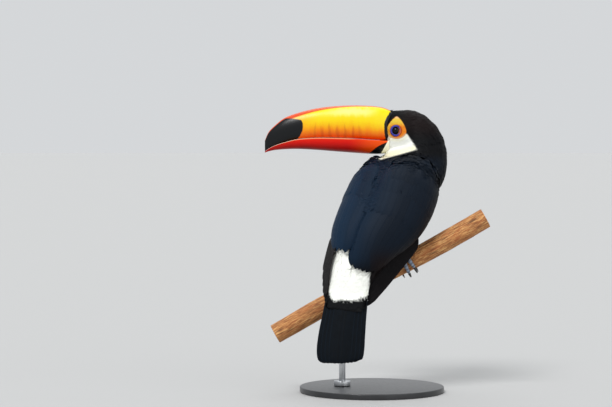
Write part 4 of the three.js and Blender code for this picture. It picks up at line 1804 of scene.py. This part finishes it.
@dataclass
class Quills:
    """The long quills of both wings' tips and of the tail."""

    seed: int = SEED + 2
    sides: int = 16
    steps: int = 36
    wing_count: int = 7
    tail_count: int = 10

    def quill(self, line: Rail, shape: Quill, tone: float) -> Object:
        """One quill along a line.

        Args:
            line: gives middle, side direction and upper direction at t.
            shape: its width and arch.
            tone: its own shade.

        Returns:
            The quill.
        """

        def place(t: Array, angle: Array) -> Array:
            x = np.cos(angle)
            middle, side, up = line(t)
            tip = np.sqrt(np.clip((1 - t) / 0.1, 0, 1)) * (0.75 + 0.25 * np.clip((1 - t) / 0.3, 0, 1))
            width = shape.width * 0.5 * np.minimum(1, tip) * np.minimum(1, 0.6 + 2 * t)
            shaft = 0.6 * np.exp(-((x / 0.1) ** 2)) * (1 - 0.7 * t)
            over = np.sin(angle) * (shape.thick + shaft) * np.minimum(1, 0.2 + (1 - t) * 8) * 0.5
            over = over - shape.arch * x**2
            return middle + side * (x * width)[:, None] + up * over[:, None]

        return lofted("quill", place, self.sides, self.steps, 0.4, vane_marks(tone))

    def fan(self, fan: Fan, material: Material) -> Object:
        """The quills of the right wing's tip."""
        rng = np.random.default_rng(self.seed + 5)
        shape = Quill(fan.width, 0.8)
        quills = [self.quill(fan.line(k), shape, rng.uniform(0.3, 0.7)) for k in range(fan.count)]
        return dressed(joined("wing_quills_right", quills), material)

    def wing_tip(self, material: Material, width: float = 11.0) -> Object:
        """The quills of the left wing's tip, each ending further down than the one inside it."""
        name = "wing_quills_left"
        rng = np.random.default_rng(self.seed + len(name))
        t_all = np.linspace(0, 1, 200)
        half = FLIGHT_LEFT.size.at(t_all)[:, 0]
        quills = []
        step = (2 * half.max() - width) / (self.wing_count - 1)
        for k in range(self.wing_count):
            reach = 2 * half - width * 0.35 - k * step
            inside = np.flatnonzero(reach > 0)
            last = t_all[inside[-1]] if len(inside) else 0.3
            last = max(0.25, last) + rng.uniform(-0.01, 0.01)

            def line(t: Array, k: int = k, last: float = last) -> tuple[Array, Array, Array]:
                centre, side, back, size = FLIGHT_LEFT.frame(last * t)
                off = -(size[:, 0] - width * 0.5 - k * step)
                off = np.clip(off, -size[:, 0] + 1, size[:, 0] - 1)
                sunk = 0.5 * (self.wing_count - 1 - k) + 8 * fall(0.0, 0.35, t)
                return centre + side * off[:, None] + back * (size[:, 1] * 0.9 - sunk)[:, None], side, back

            quills.append(self.quill(line, Quill(width, 0.8), rng.uniform(0.3, 0.7)))
        return dressed(joined(name, quills), material)

    def tail(self, material: Material) -> Object:
        """The tail: ten broad quills, the middle pair on top."""
        rng = np.random.default_rng(self.seed)
        quills = []
        for k in range(self.tail_count):
            across = (k - (self.tail_count - 1) / 2) / (self.tail_count / 2)
            last = 1.0 - 0.035 * abs(across) ** 2 - rng.uniform(0, 0.006)

            def line(t: Array, across: float = across, last: float = last) -> tuple[Array, Array, Array]:
                centre, side, back, size = TAIL.frame(0.02 + (last - 0.02) * t)
                off = across * (size[:, 0].clip(24, 40) * 0.86)
                layer = size[:, 1] - 0.4 - (TAIL_ROOF * across**2 + 1.6 * abs(across))
                roll = unit(side - back * across * 0.22)
                return centre + side * off[:, None] + back * layer[:, None], roll, back

            quills.append(self.quill(line, Quill(17.5, 0.7), rng.uniform(0.35, 0.65)))
        return dressed(joined("tail_quills", quills), material)


# ---- Bill, eyes and feet ------------------------------------------------------------------------


@dataclass
class Bill:
    """Both halves of the bill."""

    gap: float = 0.3
    bulge: float = 0.25
    keel_back: float = 7.0
    sides: int = 96
    rows: int = 170
    rim: float = 0.7

    def place(self, upper: bool) -> Surface:
        """The surface of a half.

        Args:
            upper: whether it is the upper half.

        Returns:
            The function that gives its points.
        """

        def at(t: Array, angle: Array) -> Array:
            along, culmen, meeting, keel, width = BILL_STATIONS.at(t).T
            side = self.gap / 2 if upper else -self.gap / 2
            tooth = 0.32 * np.maximum(0, np.sin(along * 2 * np.pi / 6.5)) * pyramid(along, 34, 90, 165)
            edge = meeting + side
            far = culmen if upper else keel
            widest = edge + self.bulge * (far - edge) if upper else edge
            s, c = np.sin(angle), np.cos(angle)
            flank = np.sign(c) * np.abs(c) ** np.where((s < 0) & upper, 0.35, 0.8)
            up = np.where(s > 0, (far - widest) * np.abs(s) ** 0.9, (widest - edge) * s)
            body = (t > 1e-9) & (t < 1 - 1e-9)
            swell = self.rim * pyramid(along, -6.5, -1.5, 2.5)
            z = np.where(body, widest + up, (far + edge) / 2)
            y = np.where(body, (width + swell) * flank, 0)
            if upper:
                y = y * np.where(s < 0, 1 + 0.06 * s, 1)
                z = z + swell * np.maximum(s, 0)
            z = z - tooth * (1 - np.abs(z - edge)).clip(0, 1) * (1 if upper else 0) * 0.6
            bow = np.where(z > 22, 0.025, 0.006) * (z - 22) ** 2
            back = 0 if upper else self.keel_back * (z - meeting) / keel
            x = BILL_ROOT_X + (bow - back) * (1 - t) ** 4 - along
            return np.stack([x, HEAD_Y + (y if upper else -y), GAPE_Z + z], 1)

        return at

    def up_share(self, upper: bool) -> Surface:
        """How high up a half a point is: 0 at its cutting edge, 1 at its ridge or keel."""

        def at(t: Array, angle: Array) -> Array:
            _, culmen, meeting, keel, _ = BILL_STATIONS.at(t).T
            far = culmen if upper else keel
            z = self.place(upper)(t, angle)[:, 2] - GAPE_Z
            return np.clip((z - meeting) / (far - meeting), 0, 1)

        return at

    def build(self, materials: Materials) -> list[Object]:
        """Makes both halves.

        Args:
            materials: the model's materials.

        Returns:
            Upper half, then lower half.
        """
        halves = []
        for upper, name, make in (
            (True, "bill_upper_horn", materials.bill_upper),
            (False, "bill_lower_horn", materials.bill_lower),
        ):
            marks = {"bill_along": lambda t, angle: BILL_STATIONS.at(t)[:, 0]}
            marks["bill_up"] = self.up_share(upper)
            half = lofted(name, self.place(upper), self.sides, self.rows, 0.5, marks)
            halves.append(dressed(half, make()))
        return halves


@dataclass
class Eye:
    """An eye: its ball and the ring of lids round it."""

    side: int
    opening: float = 5.7
    ring: float = 9.1
    ring_level: float = 3.9
    ring_height: float = 1.25

    def ball(self, name: str, material: Material) -> Object:
        """The eyeball, its front a little flatter over the pupil."""
        centre, outward, up, forward = EyeFrame(self.side).axes()

        def place(t: Array, angle: Array) -> Array:
            turn = np.pi * t
            r = EYE_RADIUS * np.sin(turn)
            out = -EYE_RADIUS * np.cos(turn)
            out = out - 0.25 * np.exp(-((r / 3.0) ** 2)) * (out > 0)
            flat = np.cos(angle)[:, None] * forward + np.sin(angle)[:, None] * up
            return centre + flat * r[:, None] + outward * out[:, None]

        marks = {"out": lambda t, angle: np.where(t > 0.5, np.sin(np.pi * t), 1.0)}
        return dressed(lofted(name, place, 40, 40, 0.0, marks), material)

    def lids(self, name: str, material: Material) -> Object:
        """The swollen ring, with an upper and a lower lid that nearly meet it."""
        centre, outward, up, forward = EyeFrame(self.side).axes()
        bm = bmesh.new()
        bmesh.ops.create_grid(bm, x_segments=96, y_segments=20, size=0.5)
        layer = bm.verts.layers.float.new("out")
        for vert in bm.verts:
            turn = 2 * math.pi * (vert.co.x + 0.5)
            share = vert.co.y + 0.5
            round_ring = 2 * math.pi * share
            middle = (self.opening + self.ring) / 2
            r = middle + math.cos(round_ring) * (self.ring - self.opening) / 2
            bead = 0.14 * math.sin(22 * turn) * math.sin(2.5 * round_ring)
            height = self.ring_level + math.sin(round_ring) * self.ring_height + bead
            flat = math.cos(turn) * forward + math.sin(turn) * up
            p = centre + flat * r + outward * height
            vert.co = Vector(p * MM)
            vert[layer] = (r - self.opening) / (self.ring - self.opening)
        return dressed(shelled(bm, name), material)


@dataclass(frozen=True)
class Toe:
    """A toe: which side of the branch it goes down, how far it spreads and how far round it reaches."""

    name: str
    side: int
    spread: float
    round_by: float


TOES = (
    Toe("inner_front", 1, -11, 118),
    Toe("outer_front", 1, 9, 126),
    Toe("inner_rear", -1, -3, 146),
    Toe("outer_rear", -1, 7, 128),
)


def on_branch(x: Array, degrees: Array, side: int, out: Array) -> Array:
    """Points round the branch: x along it, degrees down from its top, and how far out of it."""
    share = (x - PERCH_LEFT) / (PERCH_RIGHT - PERCH_LEFT)
    middle = np.stack([x, 0 * x, PERCH_HEIGHT + PERCH_SLOPE * x], -1)
    middle = middle + PERCH_UP * (PERCH_BOW * np.sin(2 * np.pi * share) * 0.5)[..., None]
    turn = np.radians(degrees)
    r = PERCH_RADIUS + out
    return middle + PERCH_UP * (np.cos(turn) * r)[..., None] + ACROSS * (side * np.sin(turn) * r)[..., None]


def tube(
    name: str,
    line: Callable[[Array], Array],
    radius: Surface,
    hint: Array,
    sides: int,
    rows: int,
    marks: dict[str, Surface] | None = None,
) -> Object:
    """A round body along a line.

    Args:
        name: the piece's name.
        line: gives points of its middle.
        radius: gives how thick it is at t and angle.
        hint: a direction that is never along it.
        sides: steps round.
        rows: steps along.
        marks: numbers to store.

    Returns:
        The piece.
    """

    def place(t: Array, angle: Array) -> Array:
        here = line(t)
        ahead = unit(line(np.clip(t + 1e-3, 0, 1)) - line(np.clip(t - 1e-3, 0, 1)))
        a = unit(np.cross(ahead, hint))
        b = np.cross(ahead, a)
        r = radius(t, angle)[:, None]
        return here + a * np.cos(angle)[:, None] * r + b * np.sin(angle)[:, None] * r

    return lofted(name, place, sides, rows, 0.6, marks)


@dataclass
class Foot:
    """A shank with four toes, two in front and two behind, and their claws."""

    name: str
    stands: float
    ankle: Array
    hub: float = 6.2
    toe: float = 3.4
    toe_end: float = 2.7
    shin: float = 4.0
    claw_length: float = 12.0
    claw_radius: float = 2.3
    claw_tip: float = 0.35

    def toe_line(self, toe: Toe) -> Callable[[Array], Array]:
        """The middle line of a toe."""
        return lambda s: on_branch(
            self.stands + toe.spread * s**0.6, 4 + s * (toe.round_by - 4), toe.side, self.toe + 0.9 - 0.4 * s
        )

    def build(self, foot_skin: Material, horn: Material) -> tuple[Object, list[Object]]:
        """Makes the foot.

        Args:
            foot_skin: the scaly skin.
            horn: the claws' horn.

        Returns:
            The shank with its toes, and the claws.
        """
        pieces, claws = [], []
        crease = {"crease": lambda t, angle: rise(0.35, 0.95, np.cos(2 * np.pi * 9 * t) * 0.5 + 0.5)}

        def toe_radius(t: Array, angle: Array) -> Array:
            pads = 0.28 * np.cos(2 * np.pi * 3 * t)
            plates = -0.22 * rise(0.5, 1.0, np.cos(2 * np.pi * 9 * t) * 0.5 + 0.5)
            ends = np.sqrt(np.clip(np.minimum(t, 1 - t) / 0.09, 0, 1))
            return (self.toe + (self.toe_end - self.toe) * t + pads + plates) * ends

        for toe in TOES:
            pieces.append(tube("toe", self.toe_line(toe), toe_radius, ALONG_BRANCH, 20, 54, crease))
            claws.append(self.claw(toe, horn))
        foot = on_branch(np.array([self.stands]), np.array([0.0]), 1, np.array([self.hub * 0.75 + 1]))[0]

        def shin_line(t: Array) -> Array:
            return foot + (self.ankle - foot) * np.asarray(t)[..., None]

        def shin_radius(t: Array, angle: Array) -> Array:
            plates = -0.25 * rise(0.5, 1.0, np.cos(2 * np.pi * 8 * t) * 0.5 + 0.5)
            ends = np.sqrt(np.clip(np.minimum(t + 0.1, 1 - t) / 0.1, 0, 1)) * (t > 0) * (t < 1)
            return (self.hub + (self.shin - self.hub) * rise(0, 0.3, t) + plates) * ends

        pieces.append(tube("shin", shin_line, shin_radius, ACROSS, 24, 50, crease))
        return dressed(joined(f"foot_{self.name}", pieces), foot_skin), claws

    def claw(self, toe: Toe, material: Material) -> Object:
        """A claw, curved round the branch."""
        step = math.degrees(self.claw_length / PERCH_RADIUS)
        degrees = toe.round_by - 6 + step * np.linspace(0, 1, 4)
        lifts = np.array([3.8, 6.2, 8.0, 7.5])
        curve = Curve(on_branch(np.full(4, self.stands + toe.spread), degrees, toe.side, lifts).tolist())

        def radius(t: Array, angle: Array) -> Array:
            ends = np.sqrt(np.clip(t / 0.12, 0, 1)) * (t < 1)
            flat = 1 - 0.22 * np.cos(angle) ** 2
            return (self.claw_radius + (self.claw_tip - self.claw_radius) * t**1.3) * ends * flat

        name = f"claw_horn_{self.name}_{toe.name}"
        return dressed(tube(name, curve.at, radius, ALONG_BRANCH, 20, 30), material)


# ---- Branch and stand ---------------------------------------------------------------------------


@dataclass
class Branch:
    """The cut length of branch that the bird stands on."""

    sides: int = 120
    rows: int = 420
    cut: float = 0.012
    relief: float = 0.55
    # Each knot's place along the branch, its turn round it in degrees and its size.
    knots: tuple[tuple[float, float, float], ...] = (
        (-118, 40, 4.0),
        (-84, 130, 3.2),
        (112, 70, 4.4),
        (148, 165, 3.4),
        (20, 250, 3.0),
    )

    def parts(self, t: Array) -> tuple[Array, Array]:
        """Place along the branch, and how far it is open there: 0 at the middle of a cut."""
        inner = np.clip((t - self.cut) / (1 - 2 * self.cut), 0, 1)
        opened = np.clip(np.minimum(t, 1 - t) / self.cut, 0, 1)
        return PERCH_LEFT + (PERCH_RIGHT - PERCH_LEFT) * inner, opened

    def height(self, x: Array, angle: Array) -> tuple[Array, Array]:
        """Relief of the bark and how deep in a crack each place is."""
        out, pit = np.empty(len(x)), np.empty(len(x))
        for i, (along, turn) in enumerate(zip(x.tolist(), angle.tolist())):
            c, s = math.cos(turn), math.sin(turn)
            long = perlin(Vector((along * 0.018, c * 2.4, s * 2.4)))
            fine = perlin(Vector((along * 0.06 + 9, c * 7.0, s * 7.0)))
            flake = perlin(Vector((along * 0.16 + 30, c * 13.0, s * 13.0)))
            out[i] = 0.9 * long + 0.55 * fine + 0.3 * flake
            pit[i] = max(0.0, -fine * 1.6 - 0.2)
        return out, np.clip(pit, 0, 1)

    def build(self, material: Material) -> Object:
        """Makes the branch."""

        def radius_at(t: Array, angle: Array) -> tuple[Array, Array, Array]:
            x, opened = self.parts(t)
            relief, pit = self.height(x, angle)
            r = PERCH_RADIUS - 0.2 + 0.5 * np.sin(9 * (x - PERCH_LEFT) / (PERCH_RIGHT - PERCH_LEFT))
            for along, turn, size in self.knots:
                round_by = (angle - math.radians(turn) + np.pi) % (2 * np.pi) - np.pi
                gap = np.hypot((x - along) / 2.2, round_by * r)
                r = r + 1.0 * np.exp(-((gap / size) ** 2)) - 0.9 * np.exp(-((gap / size * 2.6) ** 2))
                pit = np.maximum(pit, np.exp(-(((gap - size * 0.9) / 1.1) ** 2)) * 0.6)
            return (r + self.relief * relief.clip(-1, 0.7)) * opened, pit, opened

        def place(t: Array, angle: Array) -> Array:
            x, _ = self.parts(t)
            r, _, _ = radius_at(t, angle)
            return on_branch(x, np.degrees(angle), 1, r - PERCH_RADIUS)

        marks = {
            "pit": lambda t, angle: radius_at(t, angle)[1],
            "core": lambda t, angle: self.parts(t)[1],
            "cut": lambda t, angle: (self.parts(t)[1] < 0.93).astype(float),
        }
        return dressed(lofted("branch", place, self.sides, self.rows, 0.0, marks), material)


@dataclass
class Stand:
    """The display stand: a turned base, a rod up to the branch and a collar at the rod's foot."""

    bevel: float = 1.5
    gap: float = 0.3
    collar_radius: float = 13.0
    collar_height: float = 8.0
    steps: int = 128

    def spun(self, name: str, outline: list[tuple[float, float]], x: float, material: Material) -> Object:
        """A turned body.

        Args:
            name: the piece's name.
            outline: distances from the axis and heights, from the bottom middle to the top middle.
            x: where its axis stands.
            material: its material.

        Returns:
            The piece.
        """
        bm = bmesh.new()
        verts = [bm.verts.new((r * MM, 0, z * MM)) for r, z in outline]
        edges = [bm.edges.new(pair) for pair in zip(verts[:-1], verts[1:])]
        bmesh.ops.spin(
            bm, geom=verts + edges, cent=(0, 0, 0), axis=(0, 0, 1), dvec=(0, 0, 0),
            angle=2 * math.pi, steps=self.steps, use_merge=True, use_duplicate=False,
        )
        piece = shelled(bm, name)
        move_to(piece.data, coordinates(piece.data) + (x, 0, 0))
        mark_sharp(piece, 35)
        return dressed(piece, material)

    def build(self, black: Material, steel: Material) -> list[Object]:
        """Makes base, rod and collar."""
        low = BASE_HEIGHT + self.gap
        high = on_branch(np.array([ROD_X]), np.array([180.0]), 1, np.array([0.0]))[0, 2]
        inner, top = ROD_RADIUS + 0.05, low + self.collar_height
        ring = rounded_outline(self.collar_radius, low, top, 1.2)[1:-1]
        ring = [(inner, low), *ring, (inner, top), (inner, low)]
        return [
            self.spun("stand_plate", rounded_outline(BASE_RADIUS, 0, BASE_HEIGHT, self.bevel), 0, black),
            self.spun("stand_post", rounded_outline(ROD_RADIUS, low, high + 2.5, 0.3), ROD_X, steel),
            self.spun("stand_ring", ring, ROD_X, steel),
        ]


def rounded_outline(radius: float, low: float, high: float, bevel: float) -> list[tuple[float, float]]:
    """The outline of a disc with rounded edges, from the bottom middle to the top middle."""
    steps = 5
    turns = [i / steps * math.pi / 2 for i in range(steps + 1)]
    below = [(radius - bevel + bevel * math.sin(a), low + bevel - bevel * math.cos(a)) for a in turns]
    above = [(radius - bevel + bevel * math.cos(a), high - bevel + bevel * math.sin(a)) for a in turns]
    return [(0, low), *below, *above, (0, high)]


def mark_sharp(piece: Object, degrees: float) -> None:
    """Keeps edges that turn more than an angle sharp in shading."""
    bm = bmesh.new()
    bm.from_mesh(piece.data)
    for edge in bm.edges:
        edge.smooth = not (edge.is_manifold and edge.calc_face_angle() > math.radians(degrees))
    bm.to_mesh(piece.data)
    bm.free()


# ---- Studio -------------------------------------------------------------------------------------


@dataclass(frozen=True)
class Lamp:
    """A soft, far lamp: where it stands (turn and height in degrees), its strength, width and colour."""

    name: str
    turn: float
    height: float
    strength: float
    spread: float
    colour: RGB = (1.0, 1.0, 1.0)


@dataclass
class Studio:
    """The floor, the lamps, the surroundings and the camera."""

    target: RGB = (-102.3, 0.0, 292.8)
    distance: float = 3500.0
    elevation: float = 2.0
    lens: float = 132.8
    lamps: tuple[Lamp, ...] = (
        Lamp("lamp_key", -28, 48, 2.05, 20),
        Lamp("lamp_fill", 42, 22, 0.65, 60),
        Lamp("lamp_top", 180, 62, 1.0, 50, (0.95, 0.98, 1.0)),
    )

    def build(self) -> Object:
        """Makes floor, lamps, surroundings and camera, and returns the floor."""
        bm = bmesh.new()
        bmesh.ops.create_circle(bm, cap_ends=True, segments=96, radius=30.0)
        paint = Paint("floor_paint").finish((0.42, 0.42, 0.416), 0.8)
        floor = dressed(plain_piece(bm, "floor", False), paint)
        for lamp in self.lamps:
            light = bpy.data.lights.new(lamp.name, "SUN")
            light.energy = lamp.strength
            light.angle = math.radians(lamp.spread)
            light.color = lamp.colour
            holder = bpy.data.objects.new(lamp.name, light)
            turn, height = math.radians(lamp.turn), math.radians(lamp.height)
            flat = math.cos(height)
            away = Vector((math.sin(turn) * flat, -math.cos(turn) * flat, math.sin(height)))
            holder.location = away * 3
            holder.rotation_euler = (-away).to_track_quat("-Z", "Y").to_euler()
            bpy.context.scene.collection.objects.link(holder)
        bpy.context.scene.view_settings.view_transform = "Standard"
        world = bpy.data.worlds.new("surroundings")
        world.use_nodes = True
        sky = world.node_tree.nodes["Background"].inputs
        sky["Color"].default_value = (0.83, 0.85, 0.87, 1)
        sky["Strength"].default_value = 0.8
        bpy.context.scene.world = world
        self.camera()
        return floor

    def camera(self) -> None:
        """Sets the camera where the bird is seen from behind, level with its back."""
        data = bpy.data.cameras.new("camera")
        data.lens = self.lens
        data.sensor_width = 36.0
        data.clip_end = 60.0
        eye = bpy.data.objects.new("camera", data)
        rise = math.radians(self.elevation)
        target = Vector(self.target) * MM
        away = Vector((0, -math.cos(rise), math.sin(rise))) * self.distance * MM
        eye.location = target + away
        eye.rotation_euler = (-away).to_track_quat("-Z", "Y").to_euler()
        bpy.context.scene.collection.objects.link(eye)
        bpy.context.scene.camera = eye


# ---- The whole model ----------------------------------------------------------------------------


def declare(piece: Object, slot: str, *nodes: str) -> None:
    """Tells what a piece rides on and hides the solids that it replaces."""
    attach(piece, BODY)
    if nodes:
        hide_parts(*nodes)
    LOG.info("%s: %d faces", piece.name, len(piece.data.polygons))


def build_body(materials: Materials) -> None:
    """Skin, coat, wings and tail."""
    markings = Markings()
    skin = Skin(markings)
    hide = skin.build(materials)
    declare(hide, "black_feathers", *skin.nodes)
    for piece in Coat(skin, markings).build(hide.data, materials):
        declare(piece, "black_feathers")
    for piece in Wings(markings).build(materials):
        declare(piece, "black_feathers")
    quills = Quills()
    dark = materials.long_vane("wing_quill", srgb(7, 6, 8), srgb(34, 27, 29))
    declare(quills.fan(Fan(), dark), "flight_feathers", "flight_feathers_right")
    declare(quills.wing_tip(dark), "flight_feathers", "flight_feathers_left")
    steer = materials.long_vane("tail_quill", srgb(5, 9, 14), srgb(16, 26, 36))
    declare(quills.tail(steer), "flight_feathers", "tail")


def build_head(materials: Materials) -> None:
    """Bill and eyes."""
    upper, lower = Bill().build(materials)
    declare(upper, "bill_upper", "bill_upper")
    declare(lower, "bill_lower", "bill_lower")
    ball, ring = materials.eyeball(), materials.lids()
    for side, name in ((-1, "left"), (1, "right")):
        eye = Eye(side)
        declare(eye.ball(f"eyeball_{name}", ball), "eye", f"eye_{name}")
        declare(eye.lids(f"lids_{name}", ring), "eye")


def build_feet(materials: Materials) -> None:
    """Feet and claws."""
    scales = materials.scutes()
    horn = materials.plain(
        Finish("claw_horn", srgb(16, 15, 15), srgb(42, 36, 32), 0.32, patch_size=260, relief=0.05, coat=0.3)
    )
    for name, stands, (ankle, _) in (("left", -4, THIGHS[0]), ("right", 52, THIGHS[1])):
        leg, claws = Foot(name, stands, ankle).build(scales, horn)
        declare(leg, "leg", f"leg_{name}")
        for toe, claw in zip(TOES, claws):
            declare(claw, "claw", f"claw_{name}_{toe.name}")


def build_stand(materials: Materials) -> None:
    """Branch and stand."""
    declare(Branch().build(materials.bark()), "bark", "perch")
    enamel = materials.plain(
        Finish("stand_enamel", srgb(24, 25, 27), srgb(34, 35, 38), 0.42, patch_size=45, relief=0.03, coat=0.2)
    )
    brushed = Finish("stand_steel", srgb(168, 171, 175), srgb(196, 198, 200), 0.3, 1.0, 60, 0.02)
    steel = materials.plain(brushed)
    base, rod, collar = Stand().build(enamel, steel)
    declare(base, "stand_black", "stand_base")
    declare(rod, "stand_steel", "stand_rod")
    declare(collar, "stand_steel", "stand_collar")


def main() -> None:
    """Builds the model and writes how big it is."""
    logging.basicConfig(level=logging.INFO, format="%(message)s")
    Studio().build()
    materials = Materials()
    build_stand(materials)
    build_feet(materials)
    build_head(materials)
    build_body(materials)


if __name__ == "__main__":
    main()
